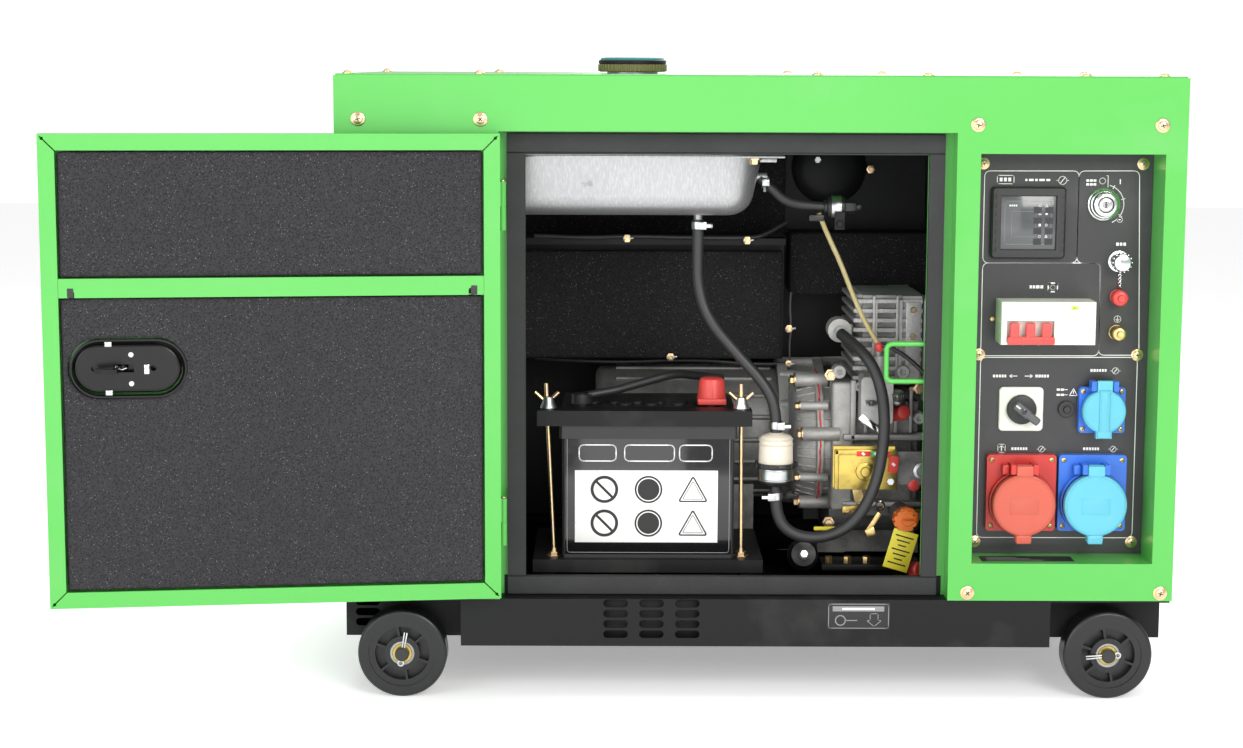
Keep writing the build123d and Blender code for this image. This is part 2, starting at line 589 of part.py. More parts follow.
with BuildPart() as key_switch:
    with BuildSketch(facing(behind(face))):
        with Locations((key_x, key_z)):
            Circle(key_r)
    extrude(amount=2)
    with BuildSketch(facing(behind(face - 2))):
        with Locations((key_x, key_z)):
            RegularPolygon(16, 6)
    extrude(amount=5)
    bar((key_x, behind(face - 7), key_z), (key_x, behind(face - 15), key_z), 12.5)
    bar((key_x, behind(face - 1), key_z), (key_x, behind(face + 34), key_z), 11)
    bar((key_x, behind(face - 17), key_z), (key_x, behind(face + 10), key_z), 8 + running, mode=Mode.SUBTRACT)
write(key_switch.part, "key_switch")

with BuildPart() as key_barrel:
    bar((key_x, behind(face - 14), key_z), (key_x, behind(face + 9.5), key_z), 8)
    with BuildSketch(facing(behind(face - 14))):
        with Locations((key_x, key_z)):
            SlotOverall(9, 2)
    extrude(amount=-8, mode=Mode.SUBTRACT)
write(key_barrel.part, "key_barrel")

with BuildPart() as control_link_socket:
    with BuildSketch(facing(behind(face))):
        with Locations((link_x, link_z)):
            RegularPolygon(link_r + 1, 6)
    extrude(amount=3)
    bar((link_x, behind(face - 3), link_z), (link_x, behind(face - 20), link_z), 8.5)
    bar((link_x, behind(face - 14), link_z), (link_x, behind(face - 26), link_z), link_r)
    bar((link_x, behind(face - 1), link_z), (link_x, behind(face + 22), link_z), 8)


def binding_post(z, cap_r):
    """A screw terminal with a knurled nut."""
    with BuildPart() as post:
        bar((link_x, behind(face - 26), z), (link_x, behind(face + 18), z), 4)
        bar((link_x, behind(face), z), (link_x, behind(face - 4), z), 7.5)
        bar((link_x, behind(face - 4.5), z), (link_x, behind(face - 20), z), cap_r)
        with BuildSketch(facing(behind(face - 20))) as flutes:
            with Locations((link_x, z)):
                with PolarLocations(cap_r + 0.6, 14):
                    Circle(1.3)
        extrude(flutes.sketch, amount=-12, mode=Mode.SUBTRACT)
    return post.part


posts = (binding_post(stud_z, stud_r), binding_post(earth_z, 8.5))
write(joined(control_link_socket.part, *posts), "panel_terminals")

with BuildPart() as breaker:
    bx0, bx1 = breaker_x - breaker_w / 2, breaker_x + breaker_w / 2
    block(bx0, bx1, behind(face - breaker_d), behind(face), breaker_z - breaker_h / 2, breaker_z + breaker_h / 2)
    fillet(breaker.edges().group_by(Axis.Y)[0], radius=1.5)
    block(breaker_x - 48, breaker_x + 48, behind(face - 1), behind(face + 30), breaker_z - 20, breaker_z + 20)
    # the well that the toggles move in, and the poles' parting grooves
    block(bx0 + 6, bx0 + 60, behind(face - breaker_d - 1), behind(face - breaker_d + 9),
          breaker_z - 21, breaker_z + 3, mode=Mode.SUBTRACT)
    for pole in (18, 36, 63, 81):
        block(bx0 + pole - 0.3, bx0 + pole + 0.3, behind(face - breaker_d - 1), behind(face - breaker_d + 0.8),
              breaker_z - 26, breaker_z + 26, mode=Mode.SUBTRACT)
write(breaker.part, "breaker")

# three linked levers that turn on a rod across the well
toggle_z, toggle_y = breaker_z - 10, face - breaker_d + 4.5
with BuildPart() as breaker_toggle:
    for pole in range(3):
        x = bx0 + 15 + 18 * pole
        with BuildSketch(seen_from_end(x - 7)):
            with Locations((behind(toggle_y), toggle_z)):
                Circle(4)
                with Locations((-5, -2.5)):
                    Rectangle(10, 7)
        extrude(amount=14)
    bar((bx0 + 7, behind(toggle_y - 8), toggle_z - 2.5), (bx0 + 59, behind(toggle_y - 8), toggle_z - 2.5), 2)
write(breaker_toggle.part, "breaker_toggle")

with BuildPart() as selector_plate:
    with BuildSketch(facing(behind(face))):
        with Locations((dial_x, dial_z)):
            RectangleRounded(dial_w, dial_w, 5)
            Circle(6 + running, mode=Mode.SUBTRACT)
    extrude(amount=4)
    chamfer(selector_plate.faces().sort_by(Axis.Y)[0].edges().filter_by(GeomType.LINE), length=1)
    with BuildSketch(facing(behind(face))):
        with Locations((dial_x, dial_z)):
            Circle(14)
            Circle(6 + running, mode=Mode.SUBTRACT)
    extrude(amount=-40)
write(selector_plate.part, "selector_plate")

with BuildPart() as selector_knob:
    with BuildSketch(facing(behind(face - 4.4))):
        with Locations((dial_x, dial_z)):
            Circle(17)
    extrude(amount=8)
    with BuildSketch(facing(behind(face - 12.4))):
        with Locations((dial_x, dial_z)):
            SlotOverall(33, 11, rotation=-38)
    extrude(amount=12)
    bar((dial_x, behind(face - 5), dial_z), (dial_x, behind(face + 30), dial_z), 6)
    fillet(selector_knob.faces().sort_by(Axis.Y)[0].edges(), radius=2)
write(selector_knob.part, "selector_knob")

with BuildPart() as reset_guard:
    with BuildSketch(facing(behind(face))):
        with Locations((reset_x, reset_z)):
            Circle(reset_r)
    extrude(amount=5)
    fillet(reset_guard.edges().group_by(Axis.Y)[0], radius=1)
    bar((reset_x, behind(face - 1), reset_z), (reset_x, behind(face + 25), reset_z), 6)
    bar((reset_x, behind(face - 6), reset_z), (reset_x, behind(face + 12), reset_z), 4 + running, mode=Mode.SUBTRACT)
write(reset_guard.part, "reset_guard")

with BuildPart() as reset_button:
    bar((reset_x, behind(face - 9), reset_z), (reset_x, behind(face + 6), reset_z), 4)
    fillet(reset_button.edges().group_by(Axis.Y)[0], radius=1)
write(reset_button.part, "reset_button")


def power_socket(x, z, w, h, hole_z, bore_r, lip, hinge_z, thick):
    """A panel socket with a round mouth, and two ears on top that carry the lid's pin."""
    mouth = face - thick
    with BuildPart() as socket:
        with BuildSketch(facing(behind(face))) as plate:
            with Locations((x, z)):
                RectangleRounded(w, h, 4)
        extrude(plate.sketch, amount=thick)
        bar((x, behind(mouth + 0.5), hole_z), (x, behind(mouth - lip), hole_z), bore_r + 4)
        bar((x, behind(mouth + 1), hole_z), (x, behind(face + 42), hole_z), bore_r + 2)
        bar((x, behind(mouth - lip - 1), hole_z), (x, behind(face + 36), hole_z), bore_r, mode=Mode.SUBTRACT)
        for side in (-1, 1):
            block(x + side * 9.9, x + side * 15.5, behind(mouth - lip - 9), behind(mouth + 1), hinge_z - 7, hinge_z + 4)
        bar((x - 14, behind(mouth - lip - 5), hinge_z), (x + 14, behind(mouth - lip - 5), hinge_z), 1.8)
    return socket.part


def socket_lid(x, hole_z, lid_r, hinge_z, mouth, thick):
    """The sprung lid of a socket, with the lug that its pin goes through and a tab to lift it by."""
    pin_y = mouth - 5
    with BuildPart() as lid:
        with BuildSketch(facing(behind(mouth - gap))) as disc:
            with Locations((x, hole_z)):
                Circle(lid_r)
            rectangle(x - 8.5, x + 8.5, hole_z, hinge_z + 1)
            rectangle(x - 9, x + 9, hole_z - lid_r - 6, hole_z)
        extrude(disc.sketch, amount=thick)
        fillet(lid.faces().sort_by(Axis.Y)[0].edges().filter_by(GeomType.CIRCLE), radius=2)
        bar((x - 8.5, behind(pin_y), hinge_z), (x + 8.5, behind(pin_y), hinge_z), 4)
        bar((x - 10, behind(pin_y), hinge_z), (x + 10, behind(pin_y), hinge_z), 1.8 + running, mode=Mode.SUBTRACT)
    return lid.part


cee_t, cee_lip, cee_hinge_z = 12.0, 14.0, 264.0
schuko_t, schuko_lip, schuko_r, schuko_hinge_z = 10.0, 6.0, 25.0, 359.0
cee_mouth, schuko_mouth = face - cee_t - cee_lip, face - schuko_t - schuko_lip
write(power_socket(three_phase_x, cee_z, cee_w, cee_h, cee_lid_z, cee_bore_r, cee_lip, cee_hinge_z, cee_t),
      "three_phase_socket")
write(socket_lid(three_phase_x, cee_lid_z, cee_lid_r, cee_hinge_z, cee_mouth, 10), "three_phase_lid")
write(power_socket(one_phase_x, cee_z, cee_w - 2, cee_h, cee_lid_z, cee_bore_r, cee_lip, cee_hinge_z, cee_t),
      "one_phase_socket")
write(socket_lid(one_phase_x, cee_lid_z, cee_lid_r, cee_hinge_z, cee_mouth, 10), "one_phase_lid")
write(power_socket(plug_x, plug_z, plug_w, plug_w, plug_z, 19.0, schuko_lip, schuko_hinge_z, schuko_t),
      "household_socket")
write(socket_lid(plug_x, plug_z, schuko_r, schuko_hinge_z, schuko_mouth, 8), "household_lid")

# ---- inside the cabinet: baffles and foam ----------------------------------------------------------------------
baffle_y, shelf_y, baffle_r = 398.0, 318.0, 236.0  # the first two are behind the front
duct_y, duct_z, duct_w, duct_h = 215.0, 425.0, 36.0, 28.0  # the air duct that goes through the side wall
tank_l, tank_r, tank_y0, tank_y1 = -432.0, 8.0, 64.0, 336.0
tank_bottom, tank_seam, tank_crown = 547.0, 617.0, 668.0
tank_lip, seam_t = 20.0, 4.0

with BuildPart() as baffles:
    block(-440, baffle_r, behind(baffle_y), behind(baffle_y + base_sheet), 345, frame_top - 6)
    # the shelf that holds the left foam board
    block(-280, 50, behind(shelf_y), behind(shelf_y + 2), 352, 506)
    block(-280, 50, behind(shelf_y - 28), behind(shelf_y), 498, 506)
    for x in (-270, 30):
        block(x, x + 12, behind(shelf_y + 2), behind(baffle_y), 470, 500)
    # the wall between the engine and the backs of the sockets
    block(baffle_r, baffle_r + 2, behind(ledge_y + 5), behind(baffle_y + base_sheet), 470, frame_top - 6)
    block(baffle_r, baffle_r + 2, behind(ledge_y + 5), behind(230), skirt_z + 24, 470)
    block(baffle_r - 1, baffle_r + 3, behind(duct_y - duct_w / 2 - 1), behind(duct_y + duct_w / 2 + 1),
          duct_z - duct_h / 2 - 1, duct_z + duct_h / 2 + 1, mode=Mode.SUBTRACT)
    # the wall in front of the rear panel's air slots
    block(-440, baffle_r, behind(490), behind(492), skirt_z + 4, 345)
    # four hangers for the tank's seam
    for x in (tank_l + 60, tank_r - 60):
        for y in (tank_y0 - 12, tank_y1 + 12):
            block(x - 10, x + 10, behind(y - 6), behind(y + 6), tank_seam + seam_t / 2, frame_top - sheet - 2)
            block(x - 10, x + 10, behind(y - 8), behind(y + 8), frame_top - sheet - 3, frame_top - sheet)
write(baffles.part, "inner_baffles")

with BuildPart() as bay_foam:
    block(-278, 48, behind(shelf_y - 22), behind(shelf_y), 354, 490)
    block(58, 234, behind(baffle_y - 68), behind(baffle_y), 432, 511)
    block(-438, 56, behind(baffle_y - 16), behind(baffle_y), 505, frame_top - 10)
    for x in (-270, 30):
        block(x - 1, x + 13, behind(baffle_y - 17), behind(baffle_y + 1), 469, 506.5, mode=Mode.SUBTRACT)
write(bay_foam.part, "bay_foam")

# ---- fuel ----------------------------------------------------------------------------------------------------
outlet = (-65.0, behind(120))
side_outlet_z, tank_wall = 590.0, 2.0

tank_w, tank_x = tank_y1 - tank_y0, (tank_l + tank_r) / 2
tank_middle = (tank_x, behind((tank_y0 + tank_y1) / 2))


def tank_half(grow, corner, depth, taper, edge):
    """A pressed half of the tank from its seam, upwards for a positive depth. grow widens its outline."""
    with BuildPart() as half_shell:
        with BuildSketch(Plane.XY.offset(tank_seam)) as outline:
            with Locations(tank_middle):
                RectangleRounded(tank_r - tank_l + 2 * grow, tank_w + 2 * grow, corner)
        extrude(outline.sketch, amount=depth, taper=taper)
        fillet(half_shell.faces().sort_by(Axis.Z)[-1 if depth > 0 else 0].edges(), radius=edge)
    return half_shell.part


with BuildPart() as tank_lower:
    add(tank_half(0, 46, tank_bottom - tank_seam, 12, 28))
    with BuildSketch(Plane.XY.offset(tank_seam)):
        with Locations(tank_middle):
            RectangleRounded(tank_r - tank_l + 2 * tank_lip, tank_w + 2 * tank_lip, 60)
    extrude(amount=-seam_t / 2)
    bar((*outlet, tank_bottom + 3), (*outlet, tank_bottom - 15), 5)
    bar((tank_r - 14, behind(140), side_outlet_z), (tank_r + 8, behind(140), side_outlet_z), 4.5)
    add(tank_half(-tank_wall, 44, tank_bottom - tank_seam + tank_wall, 12, 26), mode=Mode.SUBTRACT)
with BuildPart() as tank_upper:
    add(tank_half(0, 46, tank_crown - tank_seam, 6, 16))
    with BuildSketch(Plane.XY.offset(tank_seam)):
        with Locations(tank_middle):
            RectangleRounded(tank_r - tank_l + 2 * tank_lip, tank_w + 2 * tank_lip, 60)
    extrude(amount=seam_t / 2)
    add(tank_half(-tank_wall, 44, tank_crown - tank_seam - tank_wall, 6, 14), mode=Mode.SUBTRACT)
    bar((*filler, tank_crown - 10), (*filler, tank_crown + 1), neck_r - neck_wall, mode=Mode.SUBTRACT)
with BuildPart() as tank_neck:
    bar((*filler, tank_crown), (*filler, top_z + 6), neck_r)
    bar((*filler, tank_crown - 1), (*filler, top_z + 7), neck_r - neck_wall, mode=Mode.SUBTRACT)
write(joined(tank_lower.part, tank_upper.part, tank_neck.part), "fuel_tank")

cap_z = top_z + 2.0
with BuildPart() as fuel_cap:
    bar((*filler, cap_z), (*filler, cap_z + cap_h), cap_r)
    fillet(fuel_cap.edges().sort_by(Axis.Z)[-1], radius=3)
    bar((*filler, cap_z - 1), (*filler, cap_z + cap_h - 4), neck_r + 3.5, mode=Mode.SUBTRACT)
    bar((*filler, cap_z - 8), (*filler, cap_z + cap_h - 3), neck_r - neck_wall - 1.5)
write(fuel_cap.part, "fuel_cap")


def hose(points, radii, radius, mode=Mode.ADD):
    """A round hose along straight runs that are joined by arcs of the given radii. Returns its length."""
    path = []
    at = Vector(*points[0])
    for before, corner, after, bend in zip(points, points[1:], points[2:], radii):
        into = (Vector(*corner) - Vector(*before)).normalized()
        out = (Vector(*after) - Vector(*corner)).normalized()
        back = bend * tan(radians(into.get_angle(out)) / 2)
        start, end = Vector(*corner) - into * back, Vector(*corner) + out * back
        path += [Line(at, start), TangentArc(start, end, tangent=into)]
        at = end
    path.append(Line(at, Vector(*points[-1])))
    wire = Wire(path)
    with BuildSketch(Plane(origin=wire @ 0, z_dir=wire % 0)) as section:
        Circle(radius)
    sweep(section.sketch, path=wire, mode=mode)
    return wire.length


filter_x, filter_y, filter_top, filter_bottom = 27.0, behind(90), 295.0, 230.0
hose_r, small_hose_r, clear_hose_r = 7.6, 7.4, 3.2
union = (82.0, behind(150), 554.0)
pump = (150.0, behind(138), 372.0)  # the injection pump's inlet
lift = (108.0, 171.0, 404.0)  # the lift pump's inlet, its y given behind the front

with BuildPart() as fuel_hose_upper:
    hose([(*outlet, tank_bottom - 10), (outlet[0] - 2, outlet[1], 484), (24, behind(93), 352),
          (filter_x, filter_y, filter_top + 5)], [80, 62], hose_r)
    bar((*outlet, tank_bottom), (*outlet, tank_bottom - 17), 5, mode=Mode.SUBTRACT)

with BuildPart() as fuel_hose_lower:
    hose([(filter_x, filter_y, filter_bottom - 9), (32, behind(88), 158), (150, behind(88), 152),
          (168, behind(96), 322), (119, behind(132), 396), (lift[0], behind(lift[1] - 3), lift[2])],
         [44, 58, 90, 30], hose_r)

with BuildPart() as tank_side_hose:
    hose([(tank_r + 2, behind(140), side_outlet_z), (tank_r + 26, behind(140), side_outlet_z - 6),
          (50, behind(146), 556), (union[0] - 1.5, union[1], union[2])], [26, 34], small_hose_r)
    bar((tank_r, behind(140), side_outlet_z), (tank_r + 9, behind(140), side_outlet_z), 4.5, mode=Mode.SUBTRACT)
write(joined(fuel_hose_upper.part, fuel_hose_lower.part, tank_side_hose.part), "fuel_hoses")

with BuildPart() as fuel_union:
    bar((union[0] + gap, union[1], union[2]), (union[0] + 26, union[1], union[2]), 10.5)
    bar((union[0] + 20, union[1], union[2]), (union[0] + 42, union[1], union[2]), 6)
    bar((union[0] + 13, union[1], union[2]), (union[0] + 13, union[1], union[2] - 15), 4)

with BuildPart() as return_hose:
    hose([(union[0] + 13, union[1], union[2] - 15.3), (union[0] + 15, union[1], 505), (137, behind(135), 412),
          (pump[0], pump[1], pump[2] + 17.2)], [90, 40], clear_hose_r)
write(return_hose.part, "return_hose")

with BuildPart() as fuel_filter:
    bar((filter_x, filter_y, 262), (filter_x, filter_y, filter_top - 4), 21.5)
    fillet(fuel_filter.edges().sort_by(Axis.Z)[-1], radius=5)
    bar((filter_x, filter_y, filter_top - 5), (filter_x, filter_y, filter_top + 3.7), 8.5)
    bar((filter_x, filter_y, 258), (filter_x, filter_y, 263), 24)
    bar((filter_x, filter_y, filter_bottom), (filter_x, filter_y, 258), 25.5)
    chamfer(fuel_filter.edges().filter_by(lambda e: abs(e.center().Z - filter_bottom) < 0.1), length=3)
    bar((filter_x, filter_y, filter_bottom - 7.7), (filter_x, filter_y, filter_bottom + 1), 8.5)
write(joined(fuel_filter.part, fuel_union.part), "fuel_filter")

# ---- battery -------------------------------------------------------------------------------------------------
battery_l, battery_r, battery_y0, battery_d = -223.0, -22.0, 80.0, 165.0
tray_z, tray_h, battery_h = 131.0, 15.0, 172.0
battery_x, battery_top = (battery_l + battery_r) / 2, tray_z + tray_h + battery_h

with BuildPart() as battery_tray:
    block(-257, 12, behind(battery_y0 - 10), behind(battery_y0 + battery_d + 12), tray_z, tray_z + tray_h)
    block(-254, 9, behind(battery_y0 - 7), behind(battery_y0 + battery_d + 9), tray_z - 1, tray_z + tray_h - 3,
          mode=Mode.SUBTRACT)
    for x in (-240, -5):
        block(x - 8, x + 8, behind(battery_y0), behind(battery_y0 + battery_d), skirt_z + gap, tray_z + tray_h - 2)

with BuildPart() as battery:
    block(battery_l, battery_r, behind(battery_y0), behind(battery_y0 + battery_d),
          tray_z + tray_h, battery_top - 22)
    block(battery_l - 3, battery_r + 3, behind(battery_y0 - 3), behind(battery_y0 + battery_d + 3),
          battery_top - 30, battery_top)
    fillet(battery.edges().filter_by(Axis.Z), radius=4)
    fillet(battery.faces().sort_by(Axis.Z)[-1].edges(), radius=3)
    for x in range(6):
        with Locations((battery_x - 65 + 26 * x, behind(battery_y0 + battery_d / 2), battery_top)):
            Cylinder(9, 5)
    for x in (battery_l + 22, battery_r - 25):
        bar((x, behind(battery_y0 + 52), battery_top - 2), (x, behind(battery_y0 + 52), battery_top + 16), 8)
write(battery.part, "battery")

clamp_l, clamp_r, clamp_z, rod_y = -252.0, -2.0, battery_top + 0.5, behind(96)
rod_spots = ((-242.0, -231.0), (-14.0, -23.0))  # x of each rod's top and foot
with BuildPart() as battery_clamp:
    block(clamp_l, clamp_r, behind(72), behind(106), clamp_z, clamp_z + 3)
    block(clamp_l, clamp_r, behind(72), behind(74.5), clamp_z - 15, clamp_z + 3)
    for x in (-240.8, -15.0):
        bar((x, rod_y, clamp_z - 1), (x, rod_y, clamp_z + 4), 4.6, mode=Mode.SUBTRACT)
write(joined(battery_tray.part, battery_clamp.part), "battery_mount")

with BuildPart() as battery_rods:
    for top_x, foot_x in rod_spots:
        foot_x = battery_l - 9.5 if foot_x < -100 else battery_r + 9.5
        bar((foot_x, rod_y, tray_z + tray_h + 0.5), (top_x, rod_y, clamp_z + 32), 2.5)
        way = (Vector(top_x, rod_y, clamp_z + 32) - Vector(foot_x, rod_y, tray_z + tray_h)).normalized()
        base = Vector(foot_x, rod_y, tray_z + tray_h) + way * ((clamp_z + 3.7 - tray_z - tray_h) / way.Z)
        nut = base + way * 9
        bar(base, base + way * 1.6, 7)
        bar(base + way * 1.7, nut, 5)
        for side in (-1, 1):
            tip = nut + Vector(side * 14, 0, 9)
            bar(nut - way * 4, tip, 2.4)
write(battery_rods.part, "battery_rods")

with BuildPart() as terminal_cover:
    x, y = battery_r - 25, battery_y0 + 52
    block(x - 18, x + 19, behind(y - 17), behind(y + 20), battery_top + 6, battery_top + 35)
    block(x - 16, x + 17, behind(y - 15), behind(y + 18), battery_top + 5, battery_top + 33, mode=Mode.SUBTRACT)
    fillet(terminal_cover.edges().group_by(Axis.Z)[-1], radius=5)
write(terminal_cover.part, "terminal_cover")

cable_r = 5.0
with BuildPart() as battery_cables:
    x, y = battery_l + 22, behind(battery_y0 + 52)
    hose([(x, y, battery_top + 12), (x + 40, y + 10, battery_top + 18), (x + 110, y + 40, battery_top + 34),
          (x + 170, y + 108, battery_top + 20)], [60, 60], cable_r)
    bar((x, y, battery_top + 4), (x, y, battery_top + 15), 12)
    bar((x, y, battery_top + 3), (x, y, battery_top + 17), 8 + 0.2, mode=Mode.SUBTRACT)
write(battery_cables.part, "battery_cable")

# ---- engine and alternator -----------------------------------------------------------------------------------
shaft_r, fit = 15.0, 0.05
flange_x0, flange_x1, flange_r = 43.0, 101.0, 92.0
case_x1 = 212.0
stator_l, stator_r = -186.0, 82.0

neck_x, neck_z = 182.0, 186.0  # the oil filler, which the dipstick closes
with BuildPart() as crankcase:
    block(flange_x1, case_x1, behind(205), behind(478), 150, 338)
    fillet(crankcase.edges().filter_by(Axis.X), radius=26)
    # sump, feet and the boss round the shaft
    block(flange_x1 + 6, case_x1 - 4, behind(222), behind(462), skirt_z + 10, 160)
    for x in (engine_bolt_x - engine_bolt_pitch / 2, engine_bolt_x + engine_bolt_pitch / 2):
        for side in (-1, 1):
            y = crank_y + side * engine_bolt_y
            block(x - 17, x + 17, y - 24, y + 24, skirt_z + 10, skirt_z + 26)
    bar((flange_x0 + 8, crank_y, crank_z), (case_x1 + 8, crank_y, crank_z), 60)
    # the cover on the front, with a raised edge
    block(flange_x1 + 10, case_x1 - 8, behind(182), behind(210), 178, 318)
    fillet(crankcase.edges().filter_by(Axis.Y).group_by(Axis.Y)[0], radius=18)
    block(flange_x1 + 18, case_x1 - 16, behind(176), behind(184), 190, 306)
    bar((neck_x, behind(123), neck_z), (neck_x, behind(190), neck_z), 12)
    bar((neck_x, behind(122), neck_z), (neck_x, behind(175), neck_z), 6 + running, mode=Mode.SUBTRACT)
    bar((flange_x0, crank_y, crank_z), (case_x1 + 20, crank_y, crank_z), shaft_r + fit, mode=Mode.SUBTRACT)
write(crankcase.part, "crankcase")

with BuildPart() as bell_housing:
    bar((flange_x0, crank_y, crank_z), (flange_x0 + 12, crank_y, crank_z), flange_r)
    bar((flange_x0 + 12, crank_y, crank_z), (flange_x1 - 12, crank_y, crank_z), flange_r - 9)
    bar((flange_x1 - 12, crank_y, crank_z), (flange_x1 - gap, crank_y, crank_z), flange_r)
    for turn in range(0, 360, 30):
        y, z = crank_y + (flange_r - 5) * cos(radians(turn)), crank_z + (flange_r - 5) * sin(radians(turn))
        bar((flange_x0 + 2, y, z), (flange_x1 - gap, y, z), 7)
    bar((flange_x0 - 1, crank_y, crank_z), (flange_x1, crank_y, crank_z), 60.3, mode=Mode.SUBTRACT)
write(bell_housing.part, "bell_housing")

with BuildPart() as stator:
    bar((stator_l, crank_y, crank_z), (flange_x0 - gap, crank_y, crank_z), stator_r)
    fillet(stator.edges().group_by(Axis.X)[0], radius=12)
    for turn in range(0, 360, 20):
        y, z = crank_y + stator_r * cos(radians(turn)), crank_z + stator_r * sin(radians(turn))
        bar((stator_l + 26, y, z), (flange_x0 - 8, y, z), 3.2)
    for x in (stator_l + 30, flange_x0 - 60):
        block(x, x + 30, crank_y - 60, crank_y + 60, skirt_z + 10, crank_z - 60)
    bar((stator_l + 16, crank_y, crank_z), (flange_x0, crank_y, crank_z), 56, mode=Mode.SUBTRACT)
    bar((stator_l - 1, crank_y, crank_z), (flange_x0, crank_y, crank_z), shaft_r + fit, mode=Mode.SUBTRACT)
write(stator.part, "alternator_housing")

with BuildPart() as crankshaft:
    bar((stator_l - 6, crank_y, crank_z), (290, crank_y, crank_z), shaft_r)
    bar((stator_l + 22, crank_y, crank_z), (flange_x0 - 8, crank_y, crank_z), 54)

fan_x0, fan_x1, fan_r = 226.0, 262.0, 84.0
with BuildPart() as flywheel:
    bar((fan_x0, crank_y, crank_z), (fan_x0 + 14, crank_y, crank_z), fan_r)
    bar((fan_x0 + 14, crank_y, crank_z), (fan_x1, crank_y, crank_z), 40)
    with BuildSketch(seen_from_end(fan_x0 + 13)):
        with Locations((crank_y, crank_z)):
            with PolarLocations(60, 16):
                Rectangle(46, 4)
    extrude(amount=fan_x1 - fan_x0 - 13)
    bar((fan_x0 - 1, crank_y, crank_z), (fan_x1 + 1, crank_y, crank_z), shaft_r, mode=Mode.SUBTRACT)
write(joined(crankshaft.part, flywheel.part), "crankshaft")

cyl_x0, cyl_x1, cyl_y0, cyl_y1 = 124.0, 206.0, 172.0, 322.0
fin_z0, fin_z1, fins = 342.0, 446.0, 9
with BuildPart() as cylinder:
    block(cyl_x0 + 12, cyl_x1 - 12, behind(cyl_y0 + 14), behind(cyl_y1 - 10), 338, fin_z1)
    pitch = (fin_z1 - fin_z0) / fins
    for fin in range(fins):
        z = fin_z0 + pitch * (fin + 0.5)
        block(cyl_x0, cyl_x1, behind(cyl_y0), behind(cyl_y1), z - 2.2, z + 2.2)
    for x in (cyl_x0 + 26, cyl_x0 + 56):
        block(x - 2, x + 2, behind(cyl_y0 - 2), behind(cyl_y0 + 16), fin_z0 + 2, fin_z1 - 4)
    for x, y in ((cyl_x0 + 14, cyl_y0 + 30), (cyl_x1 - 14, cyl_y0 + 30)):
        bar((x, behind(y), 338), (x, behind(y), fin_z1), 9)
    block(cyl_x1 - 24, cyl_x1, behind(cyl_y0 + 4), behind(cyl_y1), fin_z0, fin_z1)
write(cylinder.part, "cylinder")

# the exhaust: port, silencer and tail pipe, joined into one piece
silencer_x0, silencer_x1, silencer_r = 262.0, 430.0, 52.0
with BuildPart() as silencer:
    y, z = exhaust
    bar((silencer_x0, y, z), (silencer_x1, y, z), silencer_r)
    fillet(silencer.edges().filter_by(GeomType.CIRCLE), radius=10)
    bar((silencer_x1 - 4, y, z), (half + 10, y, z), exhaust_r)
    bar((silencer_x0 + 4, y, z), (silencer_x1 - 4, y, z), silencer_r - 4, mode=Mode.SUBTRACT)
    bar((silencer_x1 - 8, y, z), (half + 11, y, z), exhaust_r - 2, mode=Mode.SUBTRACT)
    port_y, port_z, pipe_r = behind(cyl_y1 - 30), 417, 15
    bar((280, port_y, port_z), (280, y, z - silencer_r + 2), pipe_r)
    bar((280, port_y, port_z), (cyl_x1 + gap, port_y, port_z), pipe_r)
    with Locations((280, port_y, port_z)):
        Sphere(pipe_r)
    block(300, 320, y + 20, rear - sheet - gap, z + 36, z + 42)
    block(300, 320, rear - sheet - 6, rear - sheet - gap, z + 16, z + 56)
write(silencer.part, "silencer")

with BuildPart() as air_cleaner:
    bar((300, behind(196), 470), (398, behind(196), 470), 54)
    fillet(air_cleaner.edges().filter_by(GeomType.CIRCLE), radius=8)
    bar((318, behind(205), duct_z + 15), (254, behind(duct_y), duct_z), 13)
    block(cyl_x1 + gap, 262, behind(duct_y - duct_w / 2), behind(duct_y + duct_w / 2),
          duct_z - duct_h / 2, duct_z + duct_h / 2)
write(air_cleaner.part, "air_cleaner")

# things on the engine's front: the speed plate, its lever, the pump and the dipstick
lever_x, lever_z = 122.0, 240.0
with BuildPart() as speed_plate:
    block(97, 170, behind(120), behind(123), 224, 272)
    block(97, 170, behind(120), behind(134), 270, 273)
    for x, z in ((106, 262), (160, 258)):
        bar((x, behind(123), z), (x, behind(176 if x > 120 else 204.5), z), 5)
    bar((lever_x, behind(123), lever_z), (lever_x, behind(127.5), lever_z), 4)
    bar((lever_x, behind(126.8), lever_z), (lever_x, behind(129), lever_z), 6)
    bar((137, behind(112), 247), (137, behind(122), 247), 4)
    bar((137, behind(117), 247), (137, behind(120), 247), 12)
write(speed_plate.part, "speed_plate")

with BuildPart() as throttle_lever:
    with BuildSketch(facing(behind(123.3))):
        with Locations((lever_x, lever_z)):
            Circle(9)
            with Locations(Location((4, -18), -77)):
                SlotOverall(52, 11)
            Circle(4 + running, mode=Mode.SUBTRACT)
        with Locations((lever_x + 8, lever_z - 36)):
            Circle(2.2, mode=Mode.SUBTRACT)
    extrude(amount=-3.2)
write(throttle_lever.part, "throttle_lever")

